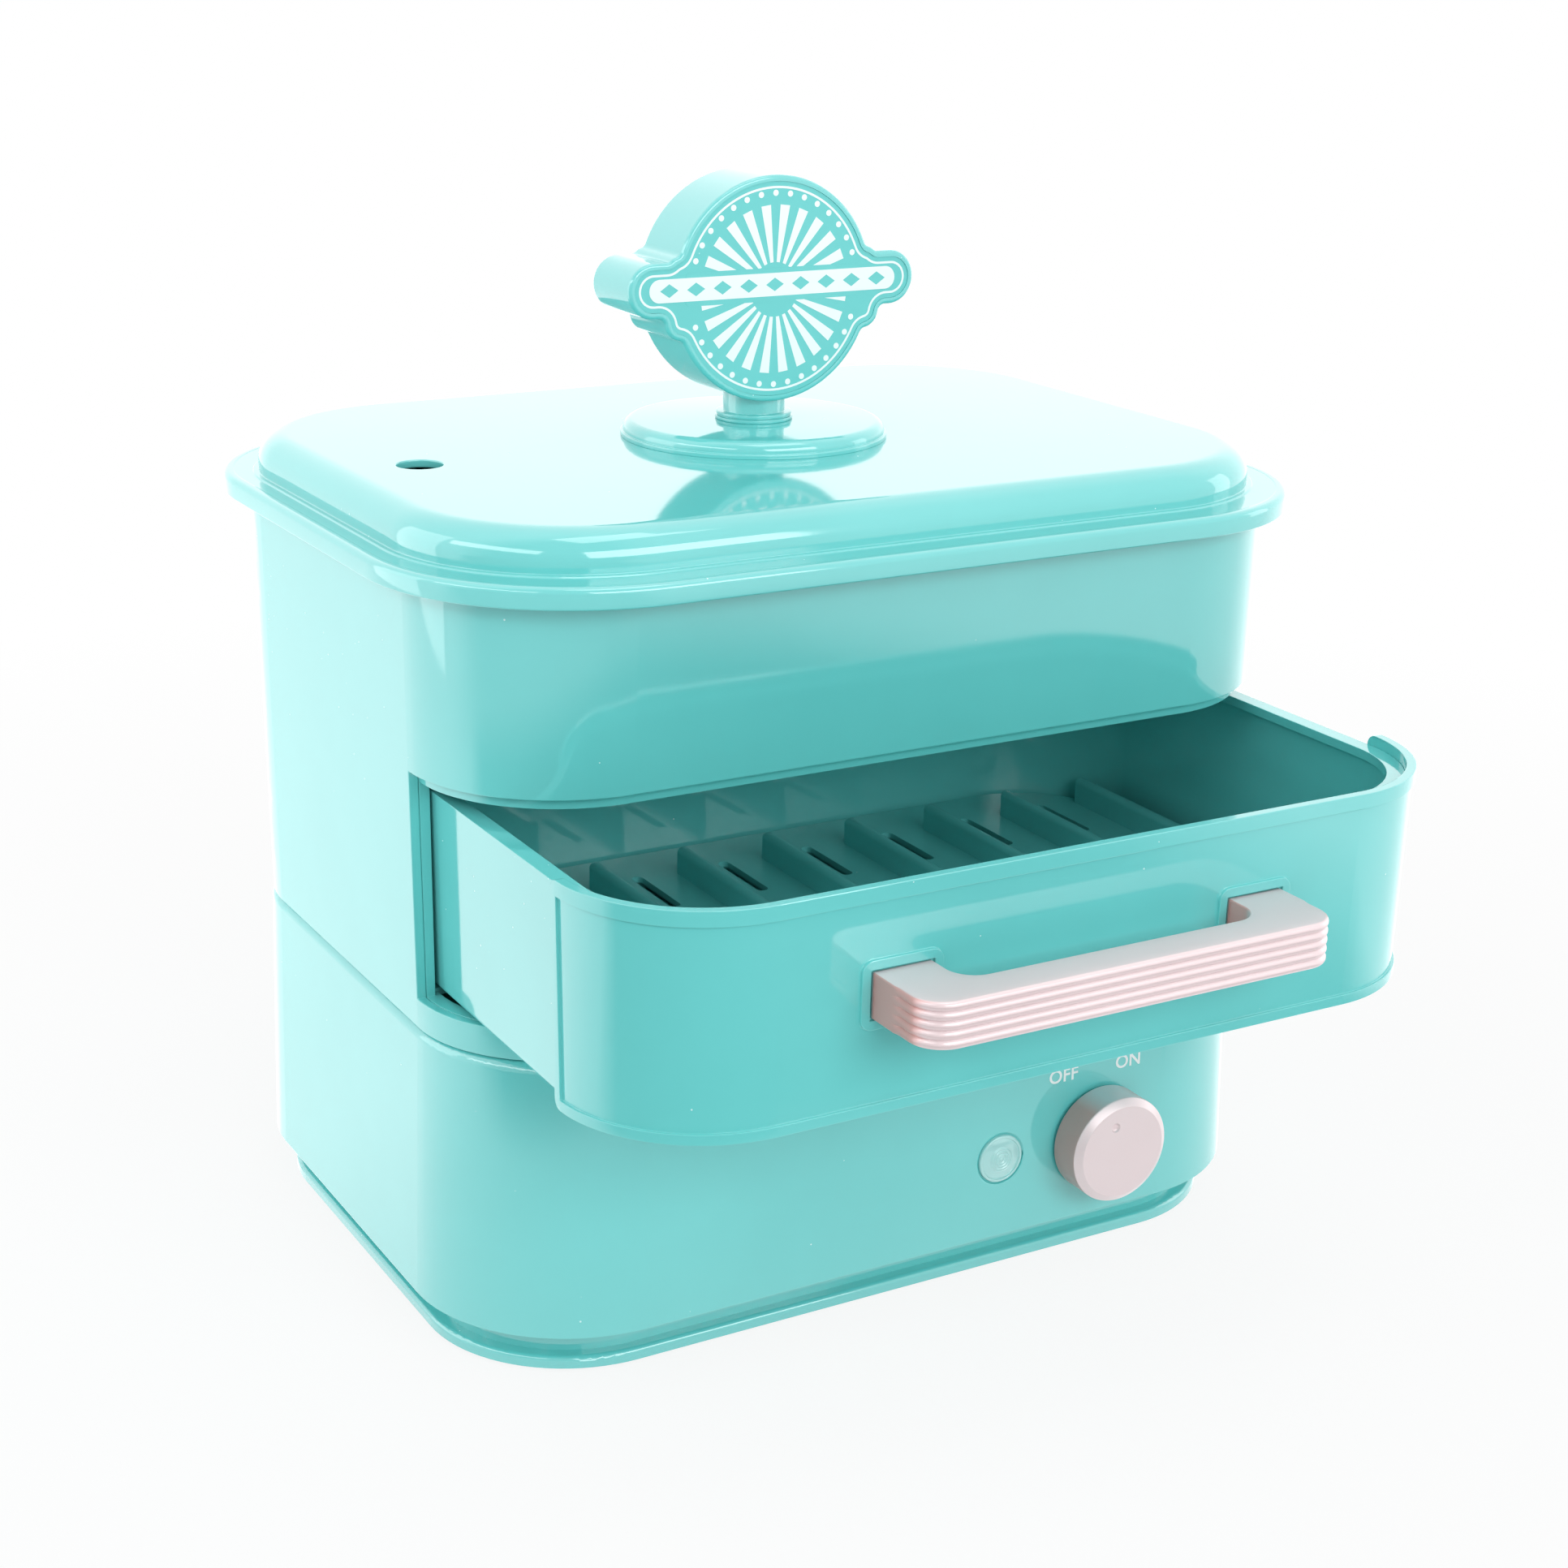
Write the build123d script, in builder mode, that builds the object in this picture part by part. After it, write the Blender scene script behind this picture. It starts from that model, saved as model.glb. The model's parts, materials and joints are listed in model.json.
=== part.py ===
from build123d import *
import os
from math import cos, radians, sin

# Countertop steamer for sausages and buns, in millimetres.
# X is to the right, Y to the back and Z up. The origin lies on the counter, under the
# centre of the base. The drawer is drawn pulled out by drawer_open.

# ------------------------------------------------------------ overall sizes
body_width = 290.6        # base housing at its top edge
body_depth = 220.6
body_radius = 50.3        # corners of the housing in plan
seam_z = 104.0            # top of the base, where the tower stands
tower_height = 139.3
lid_rim_side = 9.2        # how far the lid's rim stands out from the tower
lid_rim_front = 10.6

# ------------------------------------------------------------ walls and clearances
base_wall = 2.5
tower_wall = 3.0
tray_wall = 2.2
lid_wall = 2.5
lift_gap = 0.3            # between pieces that lift apart
slide_gap = 0.5           # between the drawer and its guides
seat_gap = 0.05           # between pieces fixed to each other
thread_gap = 0.04         # round a screw in its hole

# ------------------------------------------------------------ base
housing_foot_z = 16.0     # lower edge of the housing
housing_flare_side = 2.55 # how far each side leans out at the lower edge
housing_flare_front = 1.9
housing_flare_radius = 2.5
housing_edge_radius = 3.2
deck_margin = 14.3        # from the housing's outside to the well for the tank
deck_margin_front = 19.3
deck_thickness = 2.5
well_radius = 44.0
well_depth = 7.0          # from the deck down to the ledge under the tank
ledge_width = 9.5
plinth_inset_side = 2.8   # lower flange, in from the housing's top outline
plinth_inset_front = 5.9
plinth_radius = 48.2
plinth_low_z = 1.5
plinth_flange = 3.8
plinth_floor = 2.5
cove_inset = 4.5          # the shadow groove above the lower flange
foot_diameter = 18.0
foot_height = 2.7
foot_from_side = 35.0     # centre of a foot from the flange's edge
foot_from_front = 46.0
post_diameter = 9.0
post_from_side = 23.0
post_from_front = 23.0
post_low_z = 6.8
floor_vent_length = 46.0
floor_vent_width = 3.0
floor_vent_pitch = 8.0
floor_vent_count = 5

# ------------------------------------------------------------ screws
screw_radius = 1.75
screw_head_radius = 3.5
screw_head_height = 2.2
base_screw_length = 16.0
small_screw_radius = 1.25
small_head_radius = 2.4
small_head_height = 1.4

# ------------------------------------------------------------ water tank and heater
tank_wall = 2.0
tank_floor_z = 62.0
tank_radius = 36.0
tank_flange = 2.0
heater_hole_radius = 42.0
heater_radius = 50.0
heater_thickness = 4.5
gasket_thickness = 1.5
stud_circle_radius = 45.5
stud_radius = 2.0
stud_length = 9.0
element_circle_radius = 30.0
element_tube_radius = 4.0
clamp_thickness = 1.6
nut_radius = 3.6
nut_height = 3.2

# ------------------------------------------------------------ controls
knob_x = 69.6
knob_z = 43.1
knob_radius = 18.0
knob_depth = 12.8
knob_bevel = 2.4
knob_clearance = 0.8      # between the knob and the panel
knob_rest_angle = -20.0   # pointer at OFF, from straight up
knob_dot_radius = 1.7
knob_dot_offset = 9.5
knob_dot_depth = 0.6         # the dimple that marks where the knob points
shaft_radius = 3.0
bush_radius = 4.5
bush_length = 5.7
switch_nut_radius = 7.0
switch_nut_height = 2.0
knob_hollow_radius = 8.5
knob_hollow_depth = 3.0
switch_width = 28.0
switch_height = 24.0
switch_depth = 20.0
lens_x = 31.6
lens_z = 43.2
lens_radius = 8.1
lens_recess_radius = 8.7
lens_recess_depth = 0.8
lens_stem_radius = 5.0
lamp_radius = 3.0
lamp_length = 16.0
gland_x = 92.0
gland_z = 34.0
gland_bore_radius = 4.0
gland_radius = 7.0
gland_flange_radius = 10.0
gland_length = 16.0

# ------------------------------------------------------------ drip tray
drip_thickness = 2.0
drip_side_gap = 1.2       # inside the tower's foot
drip_pan_gap = 3.0        # inside the tank's mouth
drip_depth = 8.0
chimney_length = 44.0
chimney_width = 14.0
chimney_height = 7.0
chimney_pitch_x = 70.0
chimney_pitch_y = 62.0
chimney_columns = 3

# ------------------------------------------------------------ tower
tower_step_side = 0.25    # each side of the tower's foot, in from the base
tower_step_front = 4.9
tower_lean_side = 1.2     # each side at the top, out from the foot
tower_lean_front = 5.2
tower_foot_radius = 45.6
tower_top_radius = 50.3
sill_z = 113.7            # lower edge of the drawer opening
fascia_z = 184.8          # upper edge of the drawer opening
opening_back_y = -60.0    # how far the opening wraps round the sides
sill_width = 4.9
sill_thickness = 2.5
lip_drop = 3.5            # the set-back lip below the fascia
lip_rise = 5.0
lip_thickness = 2.5
jamb_depth = 3.0
jamb_cover = 5.8          # how far the jambs come in from the tower's skin
rail_web = 2.3
rail_flange = 8.4
rail_thickness = 2.2
rail_end_y = 56.0

# ------------------------------------------------------------ drawer
drawer_open = 86.0
panel_side_gap = 4.2116   # at its upper edge, in from the tower's sides
panel_radius = 44.0
panel_low_z = 114.2
panel_high_z = 180.8
panel_thickness = 3.0
panel_proud = 0.25        # lower edge, out from the tower's front
panel_lean_side = 0.6
panel_lean_front = 1.4
panel_end_gap = 1.5       # from the panel's ends to the jambs
panel_border = 3.2
panel_relief = 0.9        # how deep the field lies inside its border
panel_rim_width = 4.6
tray_low_z = 115.0
tray_high_z = 177.5
tray_rim_width = 5.5
tray_rim_height = 3.0
tray_back_gap = 3.6       # from the tray's back to the tower's inside
rack_count = 8            # sausages side by side
rack_pitch = 32.0
rack_thickness = 2.0
rack_rib_width = 4.0
rack_rib_height = 9.0
rack_margin = 2.0
rack_slot_length = 30.0
rack_slot_width = 4.0
rack_slot_rows = 4
rack_slot_pitch = 42.0
rack_rib_length = 150.0
tray_slot_length = 34.0
tray_slot_width = 8.0

# ------------------------------------------------------------ drawer handle
handle_width = 137.6
handle_low_z = 142.9
handle_height = 13.5
handle_reach = 28.5       # from the panel's field to the handle's front
handle_bar_depth = 13.0
handle_foot_width = 18.8
handle_corner_radius = 10.0
handle_inner_radius = 8.0
handle_rib_count = 5
handle_rib_run = 17.0     # how far the ribs reach back along the handle's sides
collar_margin = 0.6
collar_width = 2.8
collar_height = 1.0
collar_radius = 3.6

# ------------------------------------------------------------ bun tray
bun_wall = 1.8
bun_side_gap = 1.5        # inside the tower's mouth
bun_floor_gap = 9.1       # from the guide rails up to the bun tray
bun_taper = 5.5
bun_flange_overhang = 3.7
bun_flange_thickness = 1.9
bun_slot_length = 34.0
bun_slot_width = 5.0
bun_slot_columns = 6
bun_slot_rows = 9
bun_slot_pitch_x = 42.0
bun_slot_pitch_y = 18.0

# ------------------------------------------------------------ lid
lid_radius = 64.4
lid_rim_low_z = 242.3
lid_rim_height = 6.3
lid_rim_edge = 1.8
dome_width = 292.0
dome_depth = 216.0
dome_radius = 57.0
dome_height = 12.2
dome_edge_radius = 9.5
lid_skirt_gap = 1.0       # inside the bun tray's mouth
lid_skirt_width = 2.0
lid_skirt_drop = 7.0
vent_x = -115.5
vent_radius = 7.1
disc_radius = 43.0
disc_height = 5.2
disc_edge_radius = 3.4
collar_ring_radius = 12.45
collar_ring_height = 2.6
stem_radius = 9.95
stem_into_sign = 9.0
lid_bolt_radius = 2.5
lid_bolt_length = 22.0
lid_bolt_head_radius = 4.6
lid_bolt_head_height = 4.0
lid_washer_radius = 12.0
lid_washer_height = 2.0

# ------------------------------------------------------------ sign on the lid
sign_centre_z = 308.6
sign_radius = 35.3
sign_depth = 26.0
sign_wall = 2.2
sign_edge = 1.2
sausage_half_length = 51.0
sausage_centre_z = 310.2
sausage_radius = 8.5
bun_half_length = 38.5
bun_low_z = 294.5
bun_high_z = 320.6
bun_corner_radius = 6.0
sign_waist_radius = 2.5   # inner corners of the outline
face_border = 1.9
face_depth = 0.8
face_plate_thickness = 0.5

# ------------------------------------------------------------ worked-out places
tower_low_z = seam_z + lift_gap
tower_top_z = seam_z + tower_height
tower_foot_width = body_width - 2 * tower_step_side
tower_foot_depth = body_depth - 2 * tower_step_front
deck_low_z = seam_z - deck_thickness
well_width = body_width - 2 * deck_margin
well_length = body_depth - 2 * deck_margin_front
ledge_z = seam_z - well_depth + deck_thickness
plinth_width = body_width - 2 * plinth_inset_side
plinth_depth = body_depth - 2 * plinth_inset_front
plinth_top_z = plinth_low_z + plinth_flange
cove_width = plinth_width - 2 * cove_inset
cove_depth = plinth_depth - 2 * cove_inset
post_x = cove_width / 2 - post_from_side
post_y = cove_depth / 2 - post_from_front
foot_x = plinth_width / 2 - foot_from_side
foot_y = plinth_depth / 2 - foot_from_front
tank_width = well_width - 2 * ledge_width - 2 * lift_gap
tank_length = well_length - 2 * ledge_width - 2 * lift_gap
tank_top_z = ledge_z + tank_flange
tank_inside_z = tank_floor_z + tank_wall
heater_z = tank_inside_z + gasket_thickness
rail_low_z = tray_low_z - slide_gap - rail_thickness
rail_high_z = tray_high_z + slide_gap + rail_thickness
bun_low_tray_z = rail_high_z + bun_floor_gap
bun_depth = tower_top_z - bun_low_tray_z


def share_between(low, high, share):
    """The value that lies the given share of the way from low to high."""
    return low + (high - low) * share


def base_plan(z, inset=0.0):
    """Width, depth and corner radius of the base housing at height z."""
    share = (seam_z - z) / (seam_z - housing_foot_z)
    width = body_width + 2 * housing_flare_side * share
    depth = body_depth + 2 * housing_flare_front * share
    radius = body_radius + housing_flare_radius * share
    return width - 2 * inset, depth - 2 * inset, radius - inset


def tower_plan(z, inset=0.0):
    """Width, depth and corner radius of the tower at height z."""
    share = (z - seam_z) / tower_height
    width = tower_foot_width + 2 * tower_lean_side * share
    depth = tower_foot_depth + 2 * tower_lean_front * share
    radius = share_between(tower_foot_radius, tower_top_radius, share)
    return width - 2 * inset, depth - 2 * inset, radius - inset


def bun_plan(z, inset=0.0):
    """Width, depth and corner radius of the bun tray's wall at height z."""
    width, depth, radius = tower_plan(tower_top_z, tower_wall + bun_side_gap)
    taper = bun_taper * (tower_top_z - z) / bun_depth
    return width - 2 * (taper + inset), depth - 2 * (taper + inset), radius - taper - inset


def panel_plan(z, inset=0.0):
    """Width, depth and corner radius of the drawer's front at height z, as closed."""
    share = (z - panel_low_z) / (panel_high_z - panel_low_z)
    width = tower_plan(panel_high_z)[0] - 2 * panel_side_gap - 2 * panel_lean_side * (1 - share)
    depth = tower_plan(panel_low_z)[1] + 2 * panel_proud + 2 * panel_lean_front * share
    return width - 2 * inset, depth - 2 * inset, panel_radius - inset


def tray_plan(z, inset=0.0):
    """Width, depth and corner radius of the drawer's tray at height z."""
    width, depth, radius = panel_plan(z, panel_thickness + seat_gap + inset)
    return width, depth - tray_short, radius


def tapered_block(plan, low_z, high_z, inset=0.0, y=0.0):
    """A solid block that follows a plan from one height to another."""
    with BuildPart() as block:
        for z in (low_z, high_z):
            with BuildSketch(Plane((0, y, z))):
                RectangleRounded(*plan(z, inset))
        loft(ruled=True)
    return block.part


def plate(width, depth, radius, low_z, high_z, y=0.0):
    """An upright block with rounded corners between two heights."""
    with BuildPart() as block:
        with BuildSketch(Plane((0, y, low_z))):
            RectangleRounded(width, depth, radius)
        extrude(amount=high_z - low_z)
    return block.part


def tapered_ring(plan, low_z, high_z, outer, inner, y=0.0):
    """A ring that follows a plan between two heights and two insets."""
    with BuildPart() as ring:
        add(tapered_block(plan, low_z, high_z, outer, y))
        add(tapered_block(plan, low_z - 1, high_z + 1, inner, y), mode=Mode.SUBTRACT)
    return ring.part


def front_y(plan, z):
    """Where the front face lies at height z."""
    return -plan(z)[1] / 2


def finish(builder, name):
    """Label a finished piece and write it to its own file."""
    builder.part.label = name
    export_step(builder.part, f"parts/{name}.step")


# The drawer's tray stops short of the tower's back wall, so its middle lies further forward.
tray_back_y = -front_y(tower_plan, tray_low_z) - tower_wall - tray_back_gap
tray_short = panel_plan(tray_low_z, panel_thickness + seat_gap)[1] / 2 - tray_back_y
tray_y = -tray_short / 2 - drawer_open
panel_y = -drawer_open

os.makedirs("parts", exist_ok=True)

# ============================================================ base

# Base housing: a flared shell with a deck, and a well in the deck for the tank.
post_spots = [(x, y) for x in (-post_x, post_x) for y in (-post_y, post_y)]
foot_spots = [(x, y) for x in (-foot_x, foot_x) for y in (-foot_y, foot_y)]
panel_plane = Plane(origin=(0, front_y(base_plan, knob_z), 0), x_dir=(1, 0, 0), z_dir=(0, -1, 0))
rear_y = base_plan(gland_z - gland_flange_radius)[1] / 2
rear_plane = Plane(origin=(0, rear_y, 0), x_dir=(-1, 0, 0), z_dir=(0, 1, 0))

with BuildPart() as base_housing:
    add(tapered_block(base_plan, housing_foot_z, seam_z))
    fillet(base_housing.edges().group_by(Axis.Z)[-1], housing_edge_radius)
    add(tapered_block(base_plan, housing_foot_z - 1, deck_low_z, base_wall), mode=Mode.SUBTRACT)
    add(plate(well_width, well_length, well_radius, deck_low_z - 1, seam_z + 1), mode=Mode.SUBTRACT)
    add(plate(well_width + 2 * base_wall, well_length + 2 * base_wall, well_radius + base_wall,
              ledge_z - base_wall, deck_low_z))
    add(plate(well_width, well_length, well_radius, ledge_z, deck_low_z), mode=Mode.SUBTRACT)
    add(plate(tank_width + 2 * lift_gap, tank_length + 2 * lift_gap, tank_radius + lift_gap,
              ledge_z - base_wall - 1, ledge_z + 1), mode=Mode.SUBTRACT)
    with BuildSketch(Plane.XY.offset(post_low_z)):
        with Locations(post_spots):
            Circle(post_diameter / 2)
    extrude(amount=ledge_z - base_wall / 2 - post_low_z)
    with BuildSketch(Plane.XY.offset(post_low_z)):
        with Locations(post_spots):
            Circle(screw_radius + thread_gap)
    extrude(amount=base_screw_length, mode=Mode.SUBTRACT)
    with BuildSketch(panel_plane):
        with Locations((knob_x, knob_z)):
            Circle(bush_radius + thread_gap)
        with Locations((lens_x, lens_z)):
            Circle(lens_stem_radius + seat_gap)
    extrude(amount=2 * base_wall, both=True, mode=Mode.SUBTRACT)
    with BuildSketch(panel_plane):
        with Locations((lens_x, lens_z)):
            Circle(lens_recess_radius)
    extrude(amount=lens_recess_depth, both=True, mode=Mode.SUBTRACT)
    with BuildSketch(rear_plane):
        with Locations((-gland_x, gland_z)):
            Circle(gland_radius + seat_gap)
    extrude(amount=2 * base_wall, both=True, mode=Mode.SUBTRACT)
finish(base_housing, "base_housing")

# Base plate: the foot of the base, with a flange, a shadow groove above it and a vented floor.
cove_top = base_plan(housing_foot_z, base_wall + lift_gap)
post_seat_z = post_low_z - lift_gap
screw_seat_z = post_seat_z - plinth_floor
with BuildPart() as base_plate:
    add(plate(plinth_width, plinth_depth, plinth_radius, plinth_low_z, plinth_top_z))
    fillet(base_plate.edges().group_by(Axis.Z)[-1], plinth_low_z)
    add(plate(cove_width, cove_depth, plinth_radius - cove_inset, plinth_low_z, housing_foot_z + base_wall))
    add(plate(*cove_top, housing_foot_z, housing_foot_z + base_wall))
    add(plate(cove_width - 2 * base_wall, cove_depth - 2 * base_wall, plinth_radius - cove_inset - base_wall,
              plinth_low_z + plinth_floor, housing_foot_z + 2 * base_wall), mode=Mode.SUBTRACT)
    with BuildSketch(Plane.XY.offset(plinth_low_z)):
        with Locations(post_spots):
            Circle(post_diameter / 2 + plinth_floor)
    extrude(amount=post_seat_z - plinth_low_z)
    with BuildSketch(Plane.XY.offset(plinth_low_z)):
        with Locations(post_spots):
            Circle(screw_head_radius + lift_gap)
    extrude(amount=screw_seat_z - plinth_low_z, mode=Mode.SUBTRACT)
    with BuildSketch(Plane.XY.offset(plinth_low_z)):
        with Locations(post_spots):
            Circle(screw_radius + thread_gap)
    extrude(amount=post_seat_z, mode=Mode.SUBTRACT)
    with BuildSketch(Plane.XY.offset(plinth_low_z)):
        with Locations(foot_spots):
            Circle(foot_diameter / 2 + seat_gap)
    extrude(amount=foot_height - plinth_low_z, mode=Mode.SUBTRACT)
    with BuildSketch(Plane.XY):
        with GridLocations(floor_vent_length + floor_vent_pitch, floor_vent_pitch, 3, floor_vent_count):
            SlotOverall(floor_vent_length, floor_vent_width)
    extrude(amount=post_seat_z, mode=Mode.SUBTRACT)
finish(base_plate, "base_plate")

# Rubber feet: four discs set into the base plate.
with BuildPart() as rubber_feet:
    with BuildSketch(Plane.XY):
        with Locations(foot_spots):
            Circle(foot_diameter / 2)
    extrude(amount=foot_height)
finish(rubber_feet, "rubber_feet")

# Base screws: pan heads from below, up into the posts of the housing.
with BuildPart() as base_screws:
    with BuildSketch(Plane.XY.offset(screw_seat_z - screw_head_height)):
        with Locations(post_spots):
            Circle(screw_head_radius)
    extrude(amount=screw_head_height)
    with BuildSketch(Plane.XY.offset(screw_seat_z)):
        with Locations(post_spots):
            Circle(screw_radius)
    extrude(amount=base_screw_length)
finish(base_screws, "base_screws")

# Water tank: a pan that hangs by its flange, with a hole in its floor for the heater.
with BuildPart() as water_tank:
    add(plate(tank_width, tank_length, tank_radius, tank_floor_z, tank_top_z))
    fillet(water_tank.edges().group_by(Axis.Z)[0], 2 * tank_wall)
    add(plate(well_width - 2 * lift_gap, well_length - 2 * lift_gap, well_radius - lift_gap,
              ledge_z, tank_top_z))
    add(plate(tank_width - 2 * tank_wall, tank_length - 2 * tank_wall, tank_radius - tank_wall,
              tank_inside_z, tank_top_z + 1), mode=Mode.SUBTRACT)
    with BuildSketch(Plane.XY.offset(tank_floor_z)):
        Circle(heater_hole_radius)
        with PolarLocations(stud_circle_radius, 3):
            Circle(stud_radius + seat_gap)
    extrude(amount=tank_wall, mode=Mode.SUBTRACT)
finish(water_tank, "water_tank")

# Heater plate: a cast disc on the tank's floor, with a dished top and three studs below.
boss_drop = heater_z - tank_floor_z - seat_gap
with BuildPart() as heater_plate:
    with BuildSketch(Plane.XY.offset(heater_z)):
        Circle(heater_radius)
    extrude(amount=heater_thickness)
    fillet(heater_plate.edges().group_by(Axis.Z)[-1], heater_thickness / 3)
    with BuildSketch(Plane.XY.offset(heater_z + heater_thickness / 2)):
        Circle(heater_hole_radius)
    extrude(amount=heater_thickness, mode=Mode.SUBTRACT)
    with BuildSketch(Plane.XY.offset(heater_z - boss_drop)):
        Circle(heater_hole_radius - seat_gap)
    extrude(amount=boss_drop)
    with BuildSketch(Plane.XY.offset(heater_z - stud_length)):
        with PolarLocations(stud_circle_radius, 3):
            Circle(stud_radius)
    extrude(amount=stud_length)
finish(heater_plate, "heater_plate")

# Gasket: a flat ring between the heater plate and the tank's floor.
with BuildPart() as heater_gasket:
    with BuildSketch(Plane.XY.offset(tank_inside_z)):
        Circle(heater_radius - seat_gap)
        Circle(heater_hole_radius, mode=Mode.SUBTRACT)
        with PolarLocations(stud_circle_radius, 3):
            Circle(stud_radius + seat_gap, mode=Mode.SUBTRACT)
    extrude(amount=gasket_thickness)
finish(heater_gasket, "heater_gasket")

# Clamp ring and nuts: they pull the heater plate down from below the tank.
with BuildPart() as clamp_ring:
    with BuildSketch(Plane.XY.offset(tank_floor_z - clamp_thickness)):
        Circle(heater_radius)
        Circle(heater_hole_radius, mode=Mode.SUBTRACT)
        with PolarLocations(stud_circle_radius, 3):
            Circle(stud_radius + seat_gap, mode=Mode.SUBTRACT)
    extrude(amount=clamp_thickness)
finish(clamp_ring, "clamp_ring")

nut_high_z = tank_floor_z - clamp_thickness
with BuildPart() as clamp_nuts:
    with BuildSketch(Plane.XY.offset(nut_high_z - nut_height)):
        with PolarLocations(stud_circle_radius, 3):
            RegularPolygon(nut_radius, 6)
        with PolarLocations(stud_circle_radius, 3):
            Circle(stud_radius + thread_gap, mode=Mode.SUBTRACT)
    extrude(amount=nut_height)
finish(clamp_nuts, "clamp_nuts")

# Heating element: a horseshoe of tube under the plate, its two ends turned down.
element_z = heater_z - boss_drop - element_tube_radius
element_open = 35.0
element_start = (element_circle_radius * cos(radians(element_open)),
                 element_circle_radius * sin(radians(element_open)))
element_end = (element_start[0], -element_start[1])
element_drop = 3.5 * element_tube_radius
with BuildPart() as heating_element:
    with BuildLine(Plane.XY.offset(element_z)):
        CenterArc((0, 0), element_circle_radius, element_open, 360 - 2 * element_open)
    with BuildSketch(Plane(origin=(*element_start, element_z),
                           z_dir=(-sin(radians(element_open)), cos(radians(element_open)), 0))):
        Circle(element_tube_radius)
    sweep()
    for spot in (element_start, element_end):
        with BuildSketch(Plane(origin=(*spot, element_z - element_drop))):
            Circle(element_tube_radius * 0.6)
        extrude(amount=element_drop)
finish(heating_element, "heating_element")

# Thermostat and thermal fuse: both sit against the underside of the heater plate.
under_plate_z = heater_z - boss_drop
thermostat_radius = 8.0
thermostat_height = 9.0
terminal_width = 5.0
terminal_thickness = 0.8
terminal_length = 8.0
with BuildPart() as thermostat:
    with BuildSketch(Plane.XY.offset(under_plate_z - thermostat_height)):
        with Locations((0, element_circle_radius / 3)):
            Circle(thermostat_radius)
    extrude(amount=thermostat_height)
    for side in (-1, 1):
        with BuildSketch(Plane.XY.offset(under_plate_z - thermostat_height - terminal_length)):
            with Locations((side * thermostat_radius / 2, element_circle_radius / 3)):
                Rectangle(terminal_thickness, terminal_width)
        extrude(amount=terminal_length)
finish(thermostat, "thermostat")

fuse_radius = 2.2
fuse_length = 14.0
fuse_lead_radius = 0.6
fuse_lead_length = 10.0
fuse_y = -element_circle_radius / 2.5
with BuildPart() as thermal_fuse:
    with BuildSketch(Plane(origin=(-fuse_length / 2, fuse_y, under_plate_z - fuse_radius - seat_gap),
                           z_dir=(1, 0, 0))):
        Circle(fuse_radius)
    extrude(amount=fuse_length)
    with BuildSketch(Plane(origin=(-fuse_length / 2 - fuse_lead_length, fuse_y,
                                   under_plate_z - fuse_radius - seat_gap), z_dir=(1, 0, 0))):
        Circle(fuse_lead_radius)
    extrude(amount=fuse_length + 2 * fuse_lead_length)
finish(thermal_fuse, "thermal_fuse")

# Rotary switch: its threaded bush comes forward through the housing wall and takes a nut.
wall_back_y = panel_plane.origin.Y + base_wall + 0.4
with BuildPart() as rotary_switch:
    with BuildSketch(Plane(origin=(0, wall_back_y, 0), x_dir=(1, 0, 0), z_dir=(0, -1, 0))):
        with Locations((knob_x, knob_z)):
            RectangleRounded(switch_width, switch_height, 2)
    extrude(amount=-switch_depth)
    with BuildSketch(Plane(origin=(0, wall_back_y, 0), x_dir=(1, 0, 0), z_dir=(0, -1, 0))):
        with Locations((knob_x, knob_z)):
            Circle(bush_radius)
    extrude(amount=bush_length)
    with BuildSketch(Plane(origin=(0, wall_back_y, 0), x_dir=(1, 0, 0), z_dir=(0, -1, 0))):
        with Locations((knob_x, knob_z)):
            Circle(shaft_radius + slide_gap / 5)
    extrude(amount=switch_depth / 2, both=True, mode=Mode.SUBTRACT)
    with BuildSketch(Plane(origin=(0, wall_back_y + switch_depth, 0), x_dir=(1, 0, 0), z_dir=(0, -1, 0))):
        for side in (-1, 1):
            with Locations((knob_x + side * switch_width / 4, knob_z - switch_height / 4)):
                Rectangle(terminal_width, terminal_thickness)
    extrude(amount=-terminal_length)
finish(rotary_switch, "rotary_switch")

# Switch nut: it pulls the switch against the panel, inside the knob's hollow back.
with BuildPart() as switch_nut:
    with BuildSketch(panel_plane.offset(lift_gap)):
        with Locations((knob_x, knob_z)):
            RegularPolygon(switch_nut_radius, 6)
        with Locations((knob_x, knob_z)):
            Circle(bush_radius + thread_gap, mode=Mode.SUBTRACT)
    extrude(amount=switch_nut_height)
finish(switch_nut, "switch_nut")

# Knob and shaft: they turn together in the switch's bush.
knob_back_y = front_y(base_plan, knob_z - knob_radius) - knob_clearance
knob_plane = Plane(origin=(knob_x, knob_back_y, knob_z), x_dir=(1, 0, 0), z_dir=(0, -1, 0))
shaft_end_y = wall_back_y + switch_depth / 2 - slide_gap
shaft_into_knob = 7.0
with BuildPart() as knob:
    with BuildSketch(knob_plane):
        Circle(knob_radius)
    extrude(amount=knob_depth)
    chamfer(knob.faces().sort_by(Axis.Y)[0].edges(), knob_bevel * 0.75, knob_bevel)
    with BuildSketch(knob_plane):
        Circle(knob_hollow_radius)
    extrude(amount=knob_hollow_depth, mode=Mode.SUBTRACT)
    with BuildSketch(knob_plane):
        Circle(shaft_radius)
    extrude(amount=shaft_into_knob, mode=Mode.SUBTRACT)
    with BuildSketch(knob_plane.offset(knob_depth)):
        with Locations((knob_dot_offset * sin(radians(knob_rest_angle)),
                        knob_dot_offset * cos(radians(knob_rest_angle)))):
            Circle(knob_dot_radius)
    extrude(amount=-knob_dot_depth, mode=Mode.SUBTRACT)
    fillet(knob.edges().filter_by(GeomType.CIRCLE).filter_by(lambda rim: rim.radius < knob_dot_radius + 0.1)
           .sort_by(Axis.Y)[-1], knob_dot_depth * 0.9)
finish(knob, "knob")

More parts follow.
